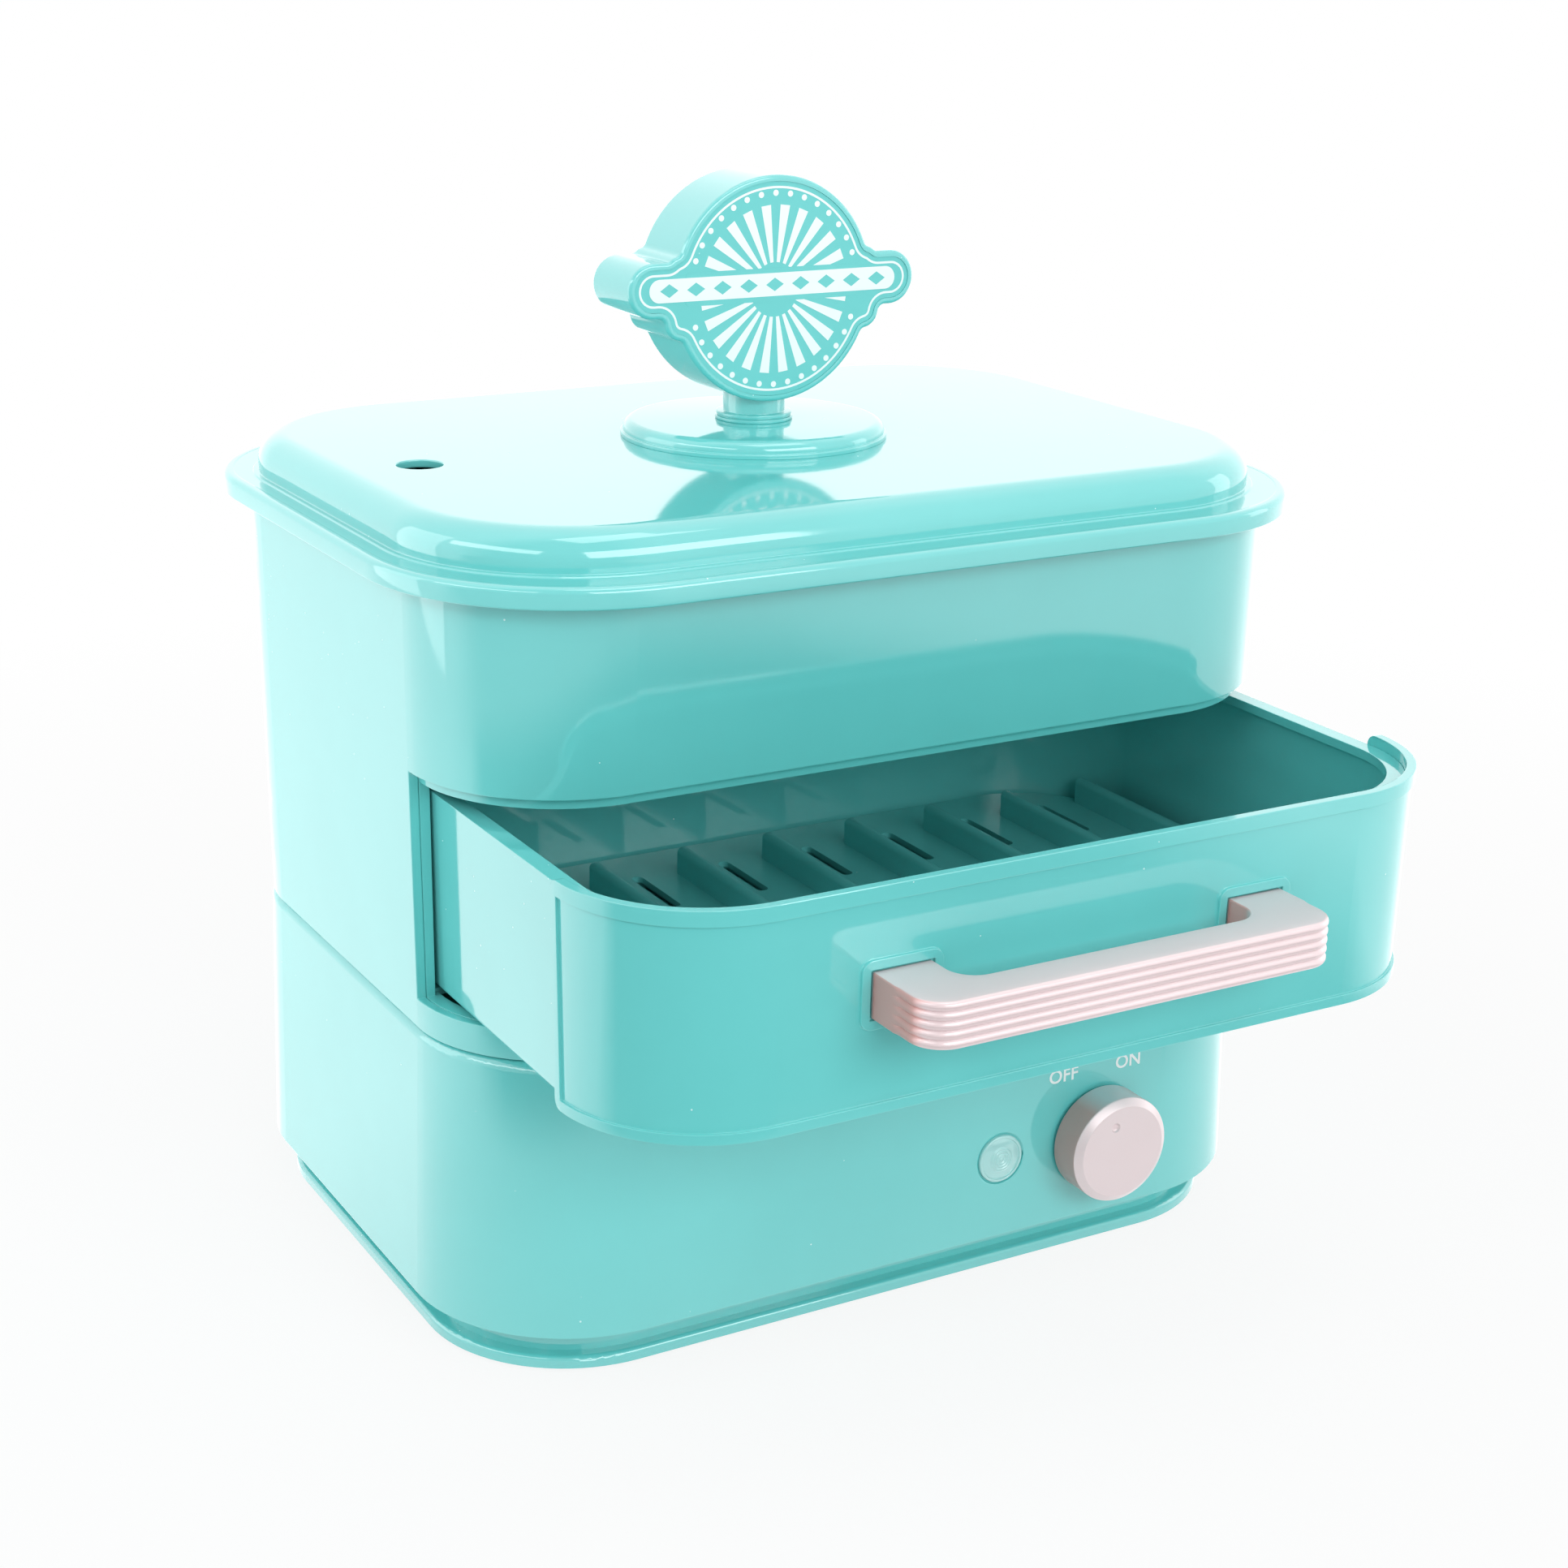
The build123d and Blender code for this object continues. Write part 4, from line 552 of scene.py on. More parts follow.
def hand_over(tree, given, result, mesh, crease=0.6):
    """The last nodes of every tree: the last touches, then the output."""
    done = use_tree(tree, FINISH_PIECE, {"Mesh": mesh, "Crease": crease, "Finish": given["Finish"]})[0]
    tree.links.new(done, result["Mesh"])
    return tree


# %% [markdown]
# A cross-section is easiest to write as a few corners, each with its own radius. The helper walks
# along the corners and replaces each one that has a radius by a short arc.

# %% Cross-sections with rounded corners
def soften(corners, steps=6):
    """Corners are (in, over, up, radius); each radius becomes an arc of a few points."""
    points = []
    for number, (inset, over, up, radius) in enumerate(corners):
        here = Vector((inset, up))
        if not radius or number in (0, len(corners) - 1):
            points.append((inset, over, up))
            continue
        to_last, to_next = ((Vector((other[0], other[2])) - here).normalized()
                            for other in (corners[number - 1], corners[number + 1]))
        half = to_last.angle(to_next) / 2
        reach = radius / math.tan(half)
        centre = here + (to_last + to_next).normalized() * radius / math.sin(half)
        start = here + to_last * reach - centre
        sweep = start.angle_signed(here + to_next * reach - centre)
        for step in range(steps + 1):
            point = centre + Matrix.Rotation(-sweep * step / steps, 2) @ start
            points.append((point.x, over, point.y))
    return points


def level_section(name, corners, steps=6):
    """The helper object for a piece with one outline only, from corners of (in, up, radius)."""
    return row_of_points(name, soften([(inset, 0, up, radius) for inset, up, radius in corners], steps))


# %% [markdown]
# ## Lid
# The lid is one moulding: a domed top with a large soft edge, a ledge with a fine bead at the
# dome's foot, a rolled rim, and a skirt underneath that centres it in the bun tray. Its highlights
# run along these small radii, so its skin is built from its cross-section, with a steam hole
# through the top. Two flat faces, each with the hole left out, close the dome inside and outside.

# %% Tree for the lid
def lid_tree():
    tree, given, result = new_tree("lid_with_hole", {
        "Rim Width": 0.31, "Rim Depth": 0.24, "Rim Radius": 0.064, "Dome Width": 0.29, "Dome Depth": 0.21,
        "Dome Radius": 0.057, "Corner Steps": 24, "Section": "Object", "Flat Inset": 0.01, "Top Height": 0.26,
        "Under Height": 0.258, "Hole X": -0.11, "Hole Radius": 0.007, "Hole Steps": 56,
        "Hole Section": "Object", "Finish": "Material"})
    rim, dome = (rounded(tree, given[part + " Width"], given[part + " Depth"], given[part + " Radius"],
                         given["Corner Steps"]) for part in ("Rim", "Dome"))
    wall = carry(tree, given["Section"], rim, dome)[0]
    outward = point_away(tree, geo(tree, "InputNormal"), geo(tree, "InputPosition"))
    inward = vectors(tree, "SCALE", outward, scale=times(tree, given["Flat Inset"], -1.0))
    aside = xyz(tree, given["Hole X"])
    sheet, hole_line = use_tree(tree, HOLED_SHEET, {
        "Line": shift(tree, dome, inward), "Hole Place": aside, "Hole Radius": given["Hole Radius"],
        "Hole Steps": given["Hole Steps"]})
    top, under = (shift(tree, sheet, xyz(tree, z=given[label])) for label in ("Top Height", "Under Height"))
    tube = shift(tree, carry(tree, given["Hole Section"], hole_line)[0], aside)
    return hand_over(tree, given, result, join(tree, wall, top, geo(tree, "FlipFaces", {0: under}), tube))


# %% Lid
RIM_LOW, RIM_HIGH, DOME_TOP, LID_WALL = 242.3, 248.6, 260.8, 2.5
DOME_UNDER, FLAT_INSET, FLAT_START = DOME_TOP - LID_WALL, 10.4, 9.9
SKIRT_OUT, SKIRT_IN, SKIRT_LOW, RIM_UNDER = 7.05, 9.05, 238.8, RIM_LOW + 3.5
LEDGE, BEAD, GROOVE = RIM_HIGH + 0.9, RIM_HIGH + 0.35, RIM_HIGH - 0.1
lid_section = row_of_points("lid_section", soften([
    (FLAT_INSET, 1, DOME_TOP, 0), (FLAT_START, 1, DOME_TOP, 0), (0, 1, DOME_TOP, 9.2), (0, 1, LEDGE, 0)], 14)
    + soften([(0, 1, LEDGE, 0), (0, 1, BEAD, 0.3), (-1.5, 1, BEAD, 0.35), (-1.9, 1, GROOVE, 0.25),
              (-3.4, 1, GROOVE, 0)], 4)
    + soften([(4.2, 0, GROOVE, 0), (3.5, 0, GROOVE, 0.2), (3.0, 0, RIM_HIGH, 0.2), (0, 0, RIM_HIGH, 1.9),
              (0, 0, RIM_LOW, 0.45), (2.5, 0, RIM_LOW, 0.2), (2.5, 0, RIM_UNDER, 0)], 6)
    + soften([(SKIRT_OUT, 1, RIM_UNDER, 0), (SKIRT_OUT, 1, SKIRT_LOW, 0.3), (SKIRT_IN, 1, SKIRT_LOW, 0.3),
              (SKIRT_IN, 1, RIM_HIGH, 0), (LID_WALL, 1, RIM_HIGH, 0), (LID_WALL, 1, DOME_UNDER, 7.0),
              (FLAT_START, 1, DOME_UNDER, 0), (FLAT_INSET, 1, DOME_UNDER, 0)], 8))
HOLE_EDGE = 0.5
hole_section = level_section("hole_section", [
    (0, DOME_TOP, 0), (HOLE_EDGE, DOME_TOP, 0.45), (HOLE_EDGE, DOME_UNDER, 0.45), (0, DOME_UNDER, 0)], 4)
lid_skin = grow("lid_skin", lid_tree(), "aqua_gloss", {
    "Rim Width": 310.9 * MM, "Rim Depth": 242.4 * MM, "Rim Radius": 64.4 * MM, "Dome Width": 292 * MM,
    "Dome Depth": 216 * MM, "Dome Radius": 57 * MM, "Corner Steps": 28, "Section": lid_section,
    "Flat Inset": FLAT_INSET * MM, "Top Height": DOME_TOP * MM, "Under Height": DOME_UNDER * MM,
    "Hole X": -115.5 * MM, "Hole Radius": (7.1 + HOLE_EDGE) * MM, "Hole Section": hole_section})
place_piece(lid_skin, "lid", "aqua_gloss", "lid_shell")

# %% [markdown]
# ## Turned pieces
# The disc under the sign, its stem, the knob and the lamp's lens are all round. Each is the same
# rule as the lid with a circle for its outline, and a cross-section that starts and ends on the
# axis, where the columns meet in one point. A modelled ring stays round at any size, and the
# cross-section holds every small lip that catches the light.

# %% Tree for turned pieces
def turned_tree():
    tree, given, result = new_tree("turned_piece", {
        "Radius": 0.02, "Steps": 96, "Section": "Object", "Finish": "Material"})
    skin = carry(tree, given["Section"], circle_line(tree, given["Steps"], given["Radius"]))[0]
    return hand_over(tree, given, result, skin)


TURNED_PIECE = turned_tree()


def turn(name, radius, corners, finish, matrix=Matrix(), steps=96, arc=6):
    section = level_section(name + "_section", corners, arc)
    sizes = {"Radius": radius * MM, "Steps": steps, "Section": section}
    return grow(name, TURNED_PIECE, finish, sizes, matrix)


def facing_front(x, y, z):
    """Turns a piece that was made pointing up so that it points out of the front."""
    return Matrix(((1, 0, 0, x * MM), (0, 0, -1, y * MM), (0, 1, 0, z * MM), (0, 0, 0, 1)))


# %% Disc and stem under the sign
DISC_RADIUS, DISC_TOP, DISC_LIP = 43, 266, 262.3
disc_skin = turn("lid_disc_skin", DISC_RADIUS, [
    (DISC_RADIUS, DISC_TOP, 0), (0.8, DISC_TOP, 3.3), (0.8, DISC_LIP, 0.2), (0, DISC_LIP, 0.45),
    (0, DOME_TOP, 0.15), (DISC_RADIUS, DOME_TOP, 0)], "aqua_gloss", steps=144, arc=10)
place_piece(disc_skin, "lid", "aqua_gloss", "lid_disc")
COLLAR_RADIUS, STEM_TOP, COLLAR_TOP = 12.45, 282.3, 268.6
stem_skin = turn("stem_skin", COLLAR_RADIUS, [
    (COLLAR_RADIUS, STEM_TOP, 0), (2.5, STEM_TOP, 0.2), (2.5, COLLAR_TOP, 0.25), (0.35, COLLAR_TOP, 0.3),
    (0.35, 267.55, 0.1), (0.75, 267.4, 0.1), (0.75, 267.2, 0.1), (0, 267.05, 0.2), (0, DISC_TOP, 0.3),
    (COLLAR_RADIUS, DISC_TOP, 0)], "aqua_gloss", arc=4)
place_piece(stem_skin, "lid", "aqua_gloss", "finial_stem", "stem_collar")

# %% [markdown]
# ## Knob and lens
# The knob is a plain cylinder with a wide bevel, silver paint, and a small dimple that shows
# where it points. Its face is a sheet with one hole, and the hole's edge runs down into the
# dimple, which is made the same way as the lid's steam hole. The lens is a thin clear cap, a low
# dome with fine rings at its middle that spread the lamp's light, on a stem through the panel.

# %% Tree for the knob
def knob_tree():
    tree, given, result = new_tree("dimpled_knob", {
        "Radius": 0.018, "Steps": 112, "Section": "Object", "Face Radius": 0.0156, "Face Height": 0.0128,
        "Dimple Place": "Vector", "Dimple Radius": 0.0017, "Dimple Steps": 40, "Dimple Section": "Object",
        "Finish": "Material"})
    rim, edge = (circle_line(tree, given["Steps"], given[label]) for label in ("Radius", "Face Radius"))
    body = carry(tree, given["Section"], rim)[0]
    sheet, hole_line = use_tree(tree, HOLED_SHEET, {
        "Line": edge, "Hole Place": given["Dimple Place"], "Hole Radius": given["Dimple Radius"],
        "Hole Steps": given["Dimple Steps"]})
    face = shift(tree, sheet, xyz(tree, z=given["Face Height"]))
    dimple = shift(tree, carry(tree, given["Dimple Section"], hole_line)[0], given["Dimple Place"])
    return hand_over(tree, given, result, join(tree, body, face, dimple))


# %% Knob
KNOB_X, KNOB_Z, KNOB_RADIUS, KNOB_DEPTH, KNOB_TURN = 69.6, 43.1, 18, 12.8, math.radians(-20)
KNOB_BEVEL, DIMPLE_RADIUS, DIMPLE_OUT = 2.9, 1.95, 9.5
knob_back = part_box("knob")[1][1] / MM
knob_section = level_section("knob_section", [
    (KNOB_BEVEL, KNOB_DEPTH, 0), (2.4, KNOB_DEPTH, 0.4), (0, KNOB_DEPTH - 1.8, 0.7), (0, 0, 0.3),
    (9.5, 0, 0.2), (9.5, 3, 0.2), (15, 3, 0.1), (15, 7, 0.1), (KNOB_RADIUS, 7, 0)])
dimple_section = level_section("dimple_section", [
    (0, KNOB_DEPTH, 0), (0.25, KNOB_DEPTH, 0.25), (0.8, KNOB_DEPTH - 0.85, 0.9),
    (DIMPLE_RADIUS, KNOB_DEPTH - 0.95, 0)], 8)
knob_skin = grow("knob_skin", knob_tree(), "silver_paint", {
    "Radius": KNOB_RADIUS * MM, "Section": knob_section, "Face Radius": (KNOB_RADIUS - KNOB_BEVEL) * MM,
    "Face Height": KNOB_DEPTH * MM, "Dimple Place": (DIMPLE_OUT * math.sin(KNOB_TURN) * MM,
                                                     DIMPLE_OUT * math.cos(KNOB_TURN) * MM, 0),
    "Dimple Radius": DIMPLE_RADIUS * MM, "Dimple Section": dimple_section},
    facing_front(KNOB_X, knob_back, KNOB_Z))
place_piece(knob_skin, "switch_knob", "silver_paint", "knob")

# %% Lens
LENS_X, LENS_Z, LENS_RADIUS, LENS_TOP, LENS_FALL, LENS_SEAT = 31.6, 43.2, 8.1, 1.65, 0.9, 1.2
RING_REACH, RING_PITCH, RING_DEPTH, DOME_REACH = 4.4, 1.1, 0.15, 6.8
lens_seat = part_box("indicator_lens")[0][1] / MM + LENS_SEAT
lens_corners = []
for step in range(1, 69):
    radius = step * 0.1
    ripple = RING_DEPTH * math.sin(2 * math.pi * radius / RING_PITCH) if radius < RING_REACH else 0
    lens_corners.append((LENS_RADIUS - radius, LENS_TOP - LENS_FALL * (radius / DOME_REACH) ** 2 + ripple, 0))
lens_skin = turn("lens_skin", LENS_RADIUS, [(LENS_RADIUS, LENS_TOP, 0)] + lens_corners + [
    (1.15, 0.72, 0.15), (0.95, 1.25, 0.15), (0, 1.25, 0.6), (0, 0, 0.1), (3.1, 0, 0.1), (3.1, -7.5, 0.1),
    (4.3, -7.5, 0.1), (4.3, 0, 0.1), (LENS_RADIUS, 0, 0)], "clear_lens",
    facing_front(LENS_X, lens_seat, LENS_Z), 80, 5)
place_piece(lens_skin, "base", "clear_lens", "indicator_lens")

# %% [markdown]
# ## Handle
# The handle is a painted bar bent round two corners, with ribs pressed into its front that run a
# little way back along its sides. The tree draws the outer and the inner outline as open lines,
# carries a cross-section from one to the other, and then pushes the outer face in between the
# ribs by a formula of height. The push fades out where the ribs end. The two feet are closed
# afterwards by filling the open ends.

# %% Tree for the handle
def handle_tree():
    tree, given, result = new_tree("ribbed_handle", {
        "Width": 0.1376, "Gap Width": 0.1, "Front": 0.0155, "Bar Depth": 0.013, "Back": 0.0128,
        "Outer Radius": 0.01, "Inner Radius": 0.008, "Height": 0.0135, "Ribs": 5.0, "Rib Depth": 0.0007,
        "Rib Run": 0.017, "Rib Fade": 0.0022, "Columns": 150, "Section": "Object", "Finish": "Material"})

    def open_line(width, front, radius):
        half = times(tree, width, 0.5)
        ends = ((-1.0, given["Back"]), (-1.0, front), (1.0, front), (1.0, given["Back"]))
        four = geo(tree, "CurvePrimitiveQuadrilateral", {
            f"Point {number}": xyz(tree, times(tree, half, side), along)
            for number, (side, along) in enumerate(ends, 1)}, mode="POINTS")
        opened = geo(tree, "SetSplineCyclic", {0: four, "Cyclic": False})
        bent = geo(tree, "FilletCurve", {"Curve": opened, "Radius": radius, "Count": 20}, mode="POLY")
        even = geo(tree, "ResampleCurve", {"Curve": bent, "Count": given["Columns"]})
        return geo(tree, "SetCurveNormal", {"Curve": even}, mode="Z_UP")

    front = times(tree, given["Front"], -1.0)
    behind = maths(tree, "ADD", front, given["Bar Depth"])
    outer = open_line(given["Width"], front, given["Outer Radius"])
    inner = open_line(given["Gap Width"], behind, given["Inner Radius"])
    bar, outward, over = carry(tree, given["Section"], outer, inner, Closed=0)
    place = split(tree, geo(tree, "InputPosition"))
    up = maths(tree, "DIVIDE", place["Z"], given["Height"])
    wave = maths(tree, "SINE", times(tree, up, times(tree, given["Ribs"], math.pi)))
    crest = maths(tree, "POWER", maths(tree, "ABSOLUTE", wave), 0.75)
    valley = times(tree, maths(tree, "SUBTRACT", 1.0, crest), given["Rib Depth"])
    end = maths(tree, "ADD", front, given["Rib Run"])
    fade = ramp(tree, place["Y"], maths(tree, "SUBTRACT", end, given["Rib Fade"]), end, 1.0, 0.0,
                interpolation_type="SMOOTHSTEP")
    push = times(tree, valley, fade, maths(tree, "LESS_THAN", over, 0.5), -1.0)
    ribbed = shift(tree, bar, vectors(tree, "SCALE", outward, scale=push))
    return hand_over(tree, given, result, ribbed, 0.9)


# %% Handle
handle_low, handle_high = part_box("drawer_handle")
HANDLE_FRONT, HANDLE_BACK = handle_low[1] / MM, handle_high[1] / MM
HANDLE_TALL, HANDLE_REACH, HANDLE_UP, HANDLE_EDGE = 13.5, 15.5, 142.9, 0.6
HANDLE_FACE = HANDLE_TALL - 2 * HANDLE_EDGE
LINE_Y = HANDLE_FRONT + HANDLE_REACH
handle_section = row_of_points("handle_section", soften([
    (4, 0, 0, 0), (0, 0, 0, 0.5), (0, 0, HANDLE_EDGE, 0)], 4)
    + [(0, 0, HANDLE_EDGE + HANDLE_FACE * step / 64) for step in range(1, 64)]
    + soften([(0, 0, HANDLE_TALL - HANDLE_EDGE, 0), (0, 0, HANDLE_TALL, 0.5), (4, 0, HANDLE_TALL, 0)], 4)
    + soften([(-4, 1, HANDLE_TALL, 0), (0, 1, HANDLE_TALL, 0.6), (0, 1, 0, 0.6), (-4, 1, 0, 0)], 4)
    + [(4, 0, 0)])
handle_skin = grow("handle_skin", handle_tree(), "silver_paint", {
    "Width": 137.6 * MM, "Gap Width": 100 * MM, "Front": HANDLE_REACH * MM, "Bar Depth": 13 * MM,
    "Back": (HANDLE_BACK - LINE_Y) * MM, "Height": HANDLE_TALL * MM, "Section": handle_section},
    Matrix.Translation((0, LINE_Y * MM, HANDLE_UP * MM)))
place_piece(handle_skin, "drawer", "silver_paint", "drawer_handle")

# %% [markdown]
# ## Print on the sign
# The sign's two faces carry a white print on the aqua plate: a fine line that follows the plate's
# edge, a ring of dots like a marquee's bulbs, a burst of rays, and a banner with a row of
# lozenges. Pad printing lays down a thin film, so the print is modelled as thin layers, each a
# few hundredths of a millimetre over the last. The dots, rays and lozenges are instances, and
# the fine line is the same carried cross-section as the lid's.

# %% Tree for the white print
def flat_plate(tree, outline, thick):
    """The two halves of a thin closed plate: the raised face with its sides, and the underside."""
    sheet = geo(tree, "FillCurve", {0: outline}, mode="NGONS")
    raised = geo(tree, "ExtrudeMesh", {"Mesh": sheet, "Offset Scale": thick, "Individual": False})
    return raised, geo(tree, "FlipFaces", {0: sheet})


def white_print_tree():
    tree, given, result = new_tree("white_print", {
        "Line": "Object", "Line Section": "Object", "Line Steps": 420, "Dot Ring": 0.0298, "Dot Count": 36,
        "Dot Radius": 0.00095, "Clear Low": -0.006, "Clear High": 0.01, "Ray Count": 24, "Ray Start": 0.0085,
        "Ray End": 0.0262, "Film": 0.00004, "Banner Length": 0.088, "Banner Height": 0.0072,
        "Banner Up": 0.0016, "Finish": "Material"})
    line = geo(tree, "MeshToCurve", {0: mesh_of(tree, given["Line"])})
    even = geo(tree, "ResampleCurve", {"Curve": line, "Count": given["Line Steps"]})
    upright = geo(tree, "SetCurveNormal", {"Curve": even}, mode="Z_UP")
    pinstripe = carry(tree, given["Line Section"], upright)[0]

    spot = split(tree, geo(tree, "InputPosition"))
    free = maths(tree, "MAXIMUM", maths(tree, "LESS_THAN", spot["Y"], given["Clear Low"]),
                 maths(tree, "GREATER_THAN", spot["Y"], given["Clear High"]))
    ring = geo(tree, "MeshCircle", {"Vertices": given["Dot Count"], "Radius": given["Dot Ring"]})
    dot = geo(tree, "MeshCylinder", {"Vertices": 18, "Radius": given["Dot Radius"], "Depth": given["Film"]})
    dots = geo(tree, "InstanceOnPoints", {"Points": ring, "Selection": free, "Instance": dot})

    length = maths(tree, "SUBTRACT", given["Ray End"], given["Ray Start"])
    middle = times(tree, maths(tree, "ADD", given["Ray End"], given["Ray Start"]), 0.5)
    block = geo(tree, "MeshCube", {"Size": xyz(tree, length, 1.0, given["Film"])})
    wide = times(tree, maths(tree, "DIVIDE", math.pi, given["Ray Count"]), spot["X"])
    ray = geo(tree, "SetPosition", {
        "Geometry": shift(tree, block, xyz(tree, middle)),
        "Position": xyz(tree, spot["X"], times(tree, spot["Y"], wide), spot["Z"])})
    angle = times(tree, maths(tree, "ADD", geo(tree, "InputIndex"), 0.5),
                  maths(tree, "DIVIDE", 2 * math.pi, given["Ray Count"]))
    rays = geo(tree, "InstanceOnPoints", {
        "Points": geo(tree, "Points", {"Count": given["Ray Count"]}), "Instance": ray,
        "Rotation": add_node(tree, "FunctionNodeEulerToRotation", {0: xyz(tree, z=angle)}).outputs[0]})

    outline = rounded(tree, given["Banner Length"], given["Banner Height"],
                      times(tree, given["Banner Height"], 0.49), 8)
    plate = join(tree, *flat_plate(tree, outline, times(tree, given["Film"], 3.0)))
    banner = shift(tree, plate, xyz(tree, y=given["Banner Up"]))
    half_film = xyz(tree, z=times(tree, given["Film"], 0.5))
    raised = [shift(tree, geo(tree, "RealizeInstances", {0: mesh}), half_film) for mesh in (dots, rays)]
    return hand_over(tree, given, result, join(tree, *raised, pinstripe, banner))


# %% Tree for the aqua print over the white
def aqua_print_tree():
    """A plain band that clears the rays either side of the banner, and lozenges on the banner."""
    tree, given, result = new_tree("aqua_print", {
        "Band Length": 0.063, "Band Height": 0.0104, "Band Corner": 0.0015, "Up": 0.0016, "Film": 0.00008,
        "Lozenges": 9, "Pitch": 0.0093, "Lozenge Radius": 0.0021, "Lozenge Film": 0.00016,
        "Finish": "Material"})
    outline = rounded(tree, given["Band Length"], given["Band Height"], given["Band Corner"], 6)
    reach = times(tree, maths(tree, "SUBTRACT", given["Lozenges"], 1.0), given["Pitch"])
    row = geo(tree, "MeshLine", {"Count": given["Lozenges"], "Offset": xyz(tree, given["Pitch"]),
                                 "Start Location": xyz(tree, times(tree, reach, -0.5))})
    square = geo(tree, "MeshCylinder", {"Vertices": 4, "Radius": given["Lozenge Radius"],
                                        "Depth": given["Lozenge Film"]})
    lozenge = geo(tree, "Transform", {"Geometry": square, "Scale": (1.5, 1.0, 1.0)})
    lozenges = geo(tree, "RealizeInstances", {
        0: geo(tree, "InstanceOnPoints", {"Points": row, "Instance": lozenge})})
    raised = shift(tree, lozenges, xyz(tree, z=times(tree, given["Lozenge Film"], 0.5)))
    whole = join(tree, *flat_plate(tree, outline, given["Film"]), raised)
    return hand_over(tree, given, result, shift(tree, whole, xyz(tree, y=given["Up"])))


# %% The line the print follows
SIGN_Z, PLATE_Y = 308.6, 12.7


def plate_edge(node):
    """The outline of the plate's outer face, measured from the sign's centre, as a chain of edges."""
    work = bmesh.new()
    work.from_mesh(frame["nodes"][node].data)
    work.transform(frame["nodes"][node].matrix_world)
    bmesh.ops.remove_doubles(work, verts=work.verts, dist=2e-6)
    outside = max(abs(corner.co.y) for corner in work.verts)
    flat = {face for face in work.faces if all(abs(abs(c.co.y) - outside) < 1e-5 for c in face.verts)}
    rim = [edge for edge in work.edges if sum(face in flat for face in edge.link_faces) == 1]
    corners = dict.fromkeys(corner for edge in rim for corner in edge.verts)
    number = {corner: place for place, corner in enumerate(corners)}
    mesh = bpy.data.meshes.new(node + "_edge")
    mesh.from_pydata([(corner.co.x, corner.co.z - SIGN_Z * MM, 0) for corner in number],
                     [[number[c] for c in edge.verts] for edge in rim], [])
    work.free()
    print(node, "edge:", len(rim), "edges round", len(number), "corners")
    return bpy.data.objects.new(node + "_edge", mesh)


# %% Print on both faces
PINSTRIPE = row_of_points("pinstripe_section", [
    (2.15, 0, 0), (2.15, 0, 0.05), (1.45, 0, 0.05), (1.45, 0, 0), (2.15, 0, 0)])
plate_line = plate_edge("sign_front_face")
WHITE_TREE, AQUA_TREE = white_print_tree(), aqua_print_tree()
for side in ("front", "back"):
    there = facing_front(0, -PLATE_Y, SIGN_Z)
    if side == "back":
        there = Matrix.Rotation(math.pi, 4, "Z") @ there
    white = grow(f"sign_{side}_white", WHITE_TREE, "white_print", {
        "Line": plate_line, "Line Section": PINSTRIPE}, there)
    aqua = grow(f"sign_{side}_aqua", AQUA_TREE, "sign_print", {}, there)
    place_piece(white, "lid", None)
    place_piece(aqua, "lid", "sign_print")

# %% [markdown]
# ## Marks over the knob
# OFF and ON are pad-printed over the knob. The letters come from the built-in font, are made into
# a mesh lying flat, and are then stood up against the panel, which leans back a little.

# %% Marks
PANEL_TOP, PANEL_TOP_Y, PANEL_TALL, PANEL_FALL = 104, -110.3, 88, 1.9
LETTER_TALL, LETTER_FILM, LETTER_PROUD = 6.3, 0.02, 0.03
lean = Matrix.Rotation(-math.atan(PANEL_FALL / PANEL_TALL), 4, "X")


def panel_y(z):
    """How far forward the base's front is at a height, in mm."""
    return PANEL_TOP_Y - PANEL_FALL * (PANEL_TOP - z) / PANEL_TALL


for word, x, z in (("OFF", 55.2, 66.9), ("ON", 80.8, 67.0)):
    letters = bpy.data.curves.new("mark_" + word, "FONT")
    letters.body, letters.size, letters.extrude = word, LETTER_TALL * MM, LETTER_FILM * MM
    letters.offset, letters.space_character = 0.10 * MM, 1.04
    letters.align_x = letters.align_y = "CENTER"
    sketch = bpy.data.objects.new("mark_sketch", letters)
    scene.collection.objects.link(sketch)
    mesh = bpy.data.meshes.new_from_object(sketch.evaluated_get(bpy.context.evaluated_depsgraph_get()))
    bpy.data.objects.remove(sketch)
    mesh.materials.clear()
    mesh.materials.append(FINISH["white_print"])
    mesh.name = "mark_" + word
    spot = Matrix.Translation((x * MM, panel_y(z) * MM - LETTER_PROUD * MM, z * MM))
    mesh.transform(spot @ lean @ facing_front(0, 0, 0))
    place_piece(close_up(bpy.data.objects.new("mark_" + word, mesh), 1e-6), "base", None)
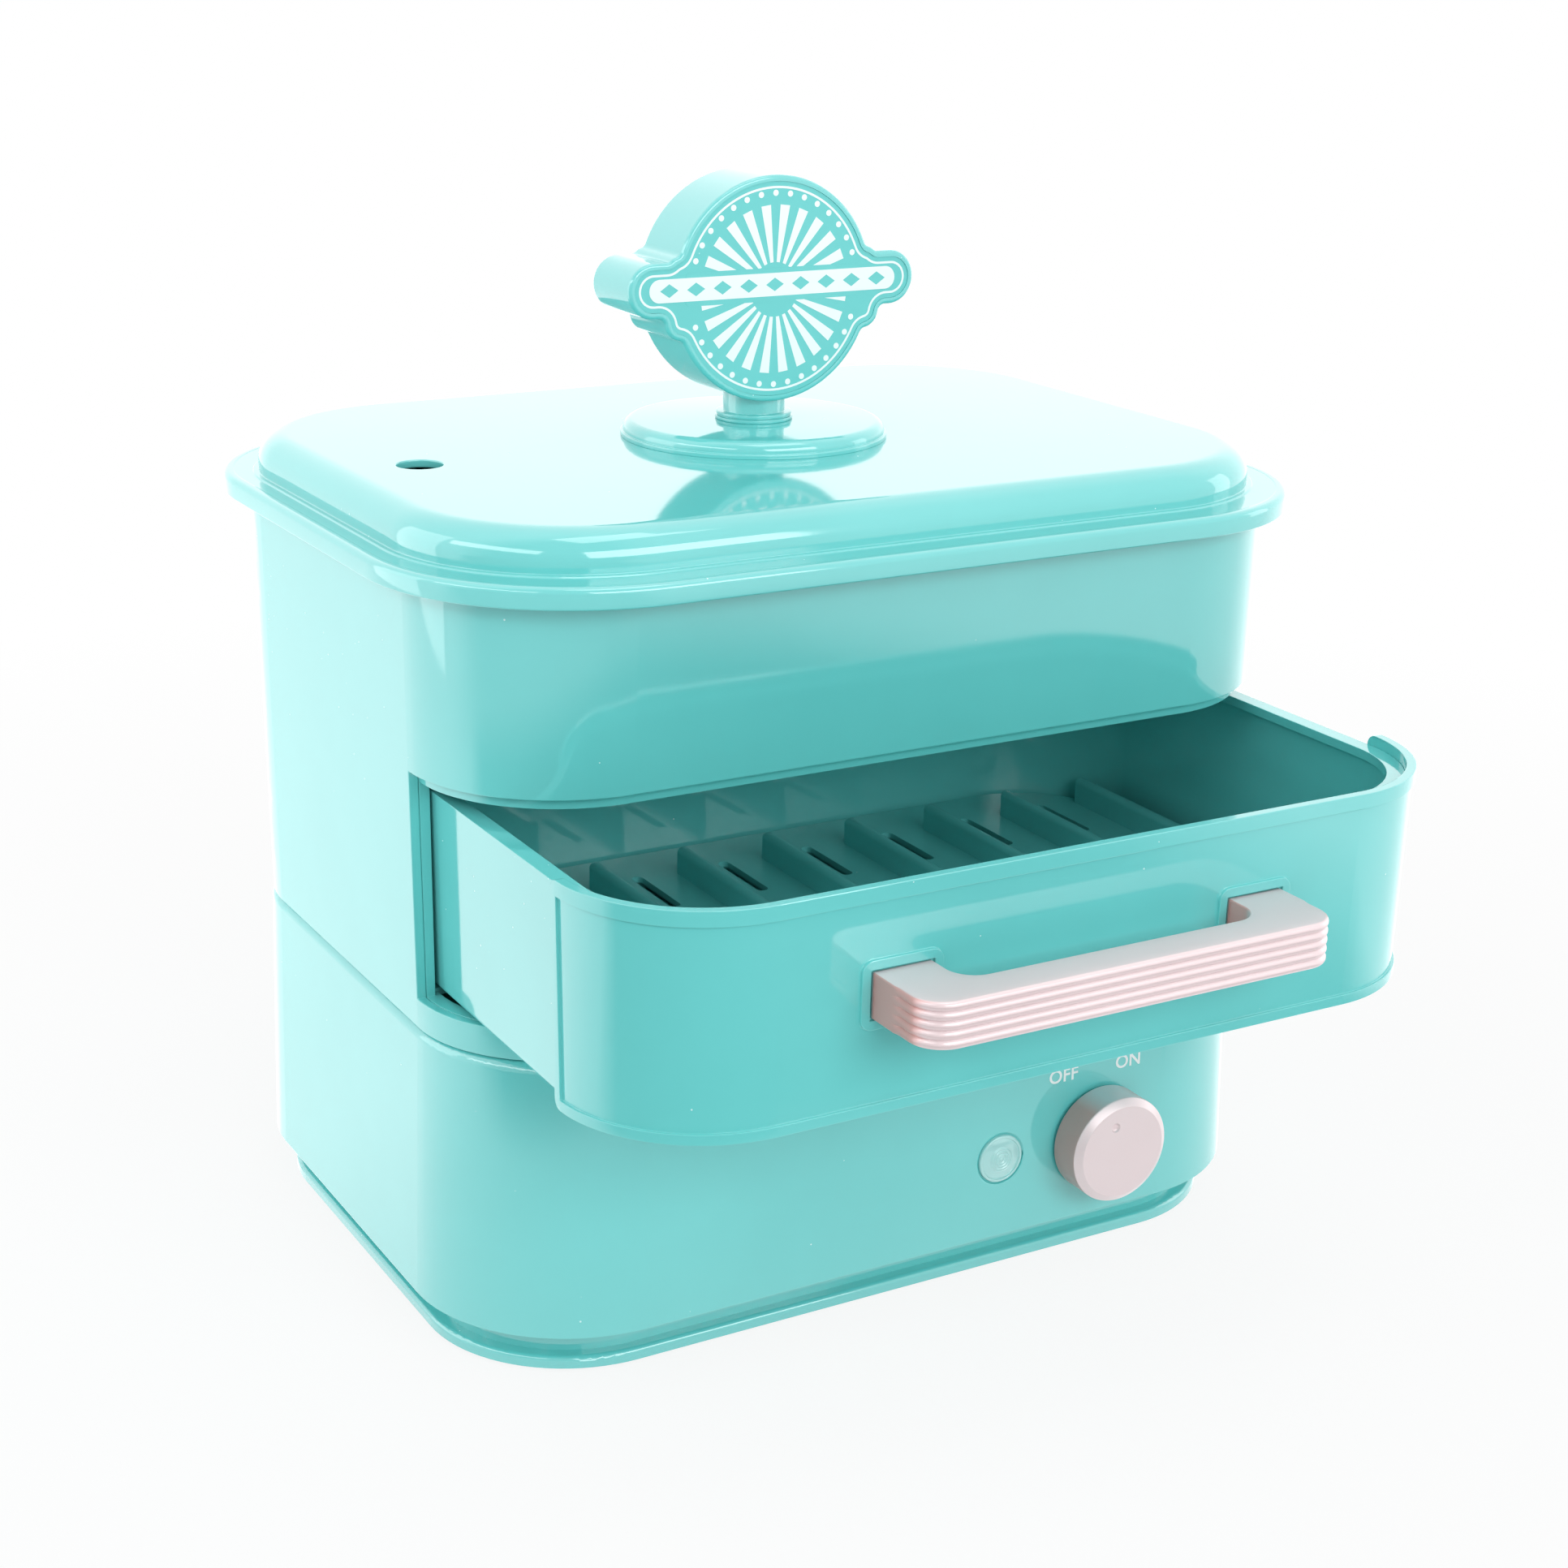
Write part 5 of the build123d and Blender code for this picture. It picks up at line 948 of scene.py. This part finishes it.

# %% [markdown]
# ## Floor, backdrop and light
# A product studio is a white floor that fades into a white wall, one broad soft light from the
# left, one overhead, one low at the back that mirrors don't see, and a weaker one from the right.
# The white comes from the floor and the world as the camera and the mirrors see them, and not from
# more light: the floor still takes the steamer's shadow, and the lamps stay at a plain level.

# %% Backdrop brightness
def studio_glow():
    """Brightness that mirrors see: bright behind and to the right, darker in front, darkest on an apron."""
    group, given, result = new_shader_group("studio_glow", {"Behind": 1.95, "Front": 0.95, "Front Right": 1.6,
                                                            "Reach": 0.5, "Apron": 0.85}, ("Strength",))
    place = object_place(group)
    where = split(group, place)
    back, right = where["Y"], where["X"]
    ahead = ramp(group, right, 0.0, 0.45, given["Front"], given["Front Right"])
    share = ramp(group, maths(group, "DIVIDE", back, given["Reach"]), -0.6, 0.3, ahead, given["Behind"],
                 interpolation_type="SMOOTHSTEP")
    away = vectors(group, "LENGTH", place)
    apron = times(group, given["Apron"], *(ramp(group, value, low, high) for value, low, high in (
        (away, 0.33, 0.40), (away, 0.78, 0.68), (back, -0.08, -0.17), (right, 0.40, 0.28))))
    group.links.new(times(group, share, maths(group, "SUBTRACT", 1.0, apron)), result["Strength"])
    return group


STUDIO_GLOW = studio_glow()


def ray_kinds(tree):
    """Whether a ray comes from the camera, and whether it comes from a mirror or a clear piece."""
    path = add_node(tree, "ShaderNodeLightPath").outputs
    return path["Is Camera Ray"], maths(tree, "MAXIMUM", path["Is Glossy Ray"], path["Is Transmission Ray"])


def glow_in_mirrors(tree, mirrored, plain, reach):
    glow = add_node(tree, "ShaderNodeGroup", {"Reach": reach}, node_tree=STUDIO_GLOW).outputs[0]
    return add_node(tree, "ShaderNodeMix", {0: mirrored, 2: plain, 3: glow}, data_type="FLOAT").outputs[0]


# %% Floor
def white_for_the_camera(name, colour):
    """Diffuse for light that falls on it, and a plain emission for what sees it."""
    material = bpy.data.materials.new(name)
    material.use_nodes = True
    tree = material.node_tree
    tree.nodes.remove(tree.nodes["Principled BSDF"])
    seen, mirrored = ray_kinds(tree)
    paint = add_node(tree, "ShaderNodeBsdfDiffuse", {"Color": (*colour, 1)}).outputs[0]
    light = add_node(tree, "ShaderNodeEmission", {
        "Color": (1, 1, 1, 1), "Strength": glow_in_mirrors(tree, mirrored, 1.0, 0.45)}).outputs[0]
    away = vectors(tree, "LENGTH", object_place(tree))
    shown = times(tree, seen, ramp(tree, away, 0.30, 0.8, 0.87, 1.0))
    both = add_node(tree, "ShaderNodeMixShader", {
        0: maths(tree, "MAXIMUM", mirrored, shown), 1: paint, 2: light})
    tree.links.new(both.outputs[0], tree.nodes["Material Output"].inputs["Surface"])
    return material


FLOOR_HALF = 9
floor_mesh = bpy.data.meshes.new("floor")
floor_mesh.from_pydata([(FLOOR_HALF * x, FLOOR_HALF * y, 0) for x, y in ((-1, -1), (1, -1), (1, 1), (-1, 1))],
                       [], [(0, 1, 2, 3)])
floor_mesh.materials.append(white_for_the_camera("floor_white", (0.82, 0.82, 0.82)))
floor = bpy.data.objects.new("floor", floor_mesh)
scene.collection.objects.link(floor)

# %% World
WORLD_STRENGTH = 0.56
world = bpy.data.worlds.new("studio")
scene.world = world
world.use_nodes = True
tree = world.node_tree
seen, mirrored = ray_kinds(tree)
plain = maths(tree, "MULTIPLY_ADD", seen, 1 - WORLD_STRENGTH, WORLD_STRENGTH)
background = tree.nodes["Background"].inputs
background["Color"].default_value = (1, 1, 1, 1)
tree.links.new(glow_in_mirrors(tree, mirrored, plain, 0.6), background["Strength"])


# %% Lamps
def soft_box(name, centre, target, width, height, radiance, mirrored=True):
    """An area lamp given by the brightness of its face, the way a mirror sees it."""
    lamp = bpy.data.lights.new(name, "AREA")
    lamp.shape = "RECTANGLE"
    lamp.size, lamp.size_y = width, height
    lamp.energy = radiance * math.pi * width * height
    box = bpy.data.objects.new(name, lamp)
    box.location = Vector(centre)
    box.rotation_euler = (Vector(target) - box.location).to_track_quat("-Z", "Y").to_euler()
    box.visible_camera = False
    box.visible_glossy = mirrored
    scene.collection.objects.link(box)
    print(f"{name}: {lamp.energy:.1f} W")


MIDDLE = (0, 0, 0.2)
soft_box("left_low_box", (-0.66, 0.40, 0.38), (0, 0.40, 0.38), 0.58, 0.66, 1.4)
soft_box("left_high_box", (-1.5, -0.46, 1.14), MIDDLE, 1.7, 0.36, 3.2)
soft_box("front_box", (0.22, -2.3, 1.2), MIDDLE, 2.0, 0.95, 4.2)
soft_box("top_box", (0.1, -0.35, 1.6), MIDDLE, 0.9, 0.5, 2.4)
soft_box("back_box", (1.25, 2.3, 0.62), (0, 0, 0.25), 3.2, 1.1, 1.0, False)
soft_box("right_box", (1.6, -0.35, 0.45), MIDDLE, 0.5, 0.9, 1.5)
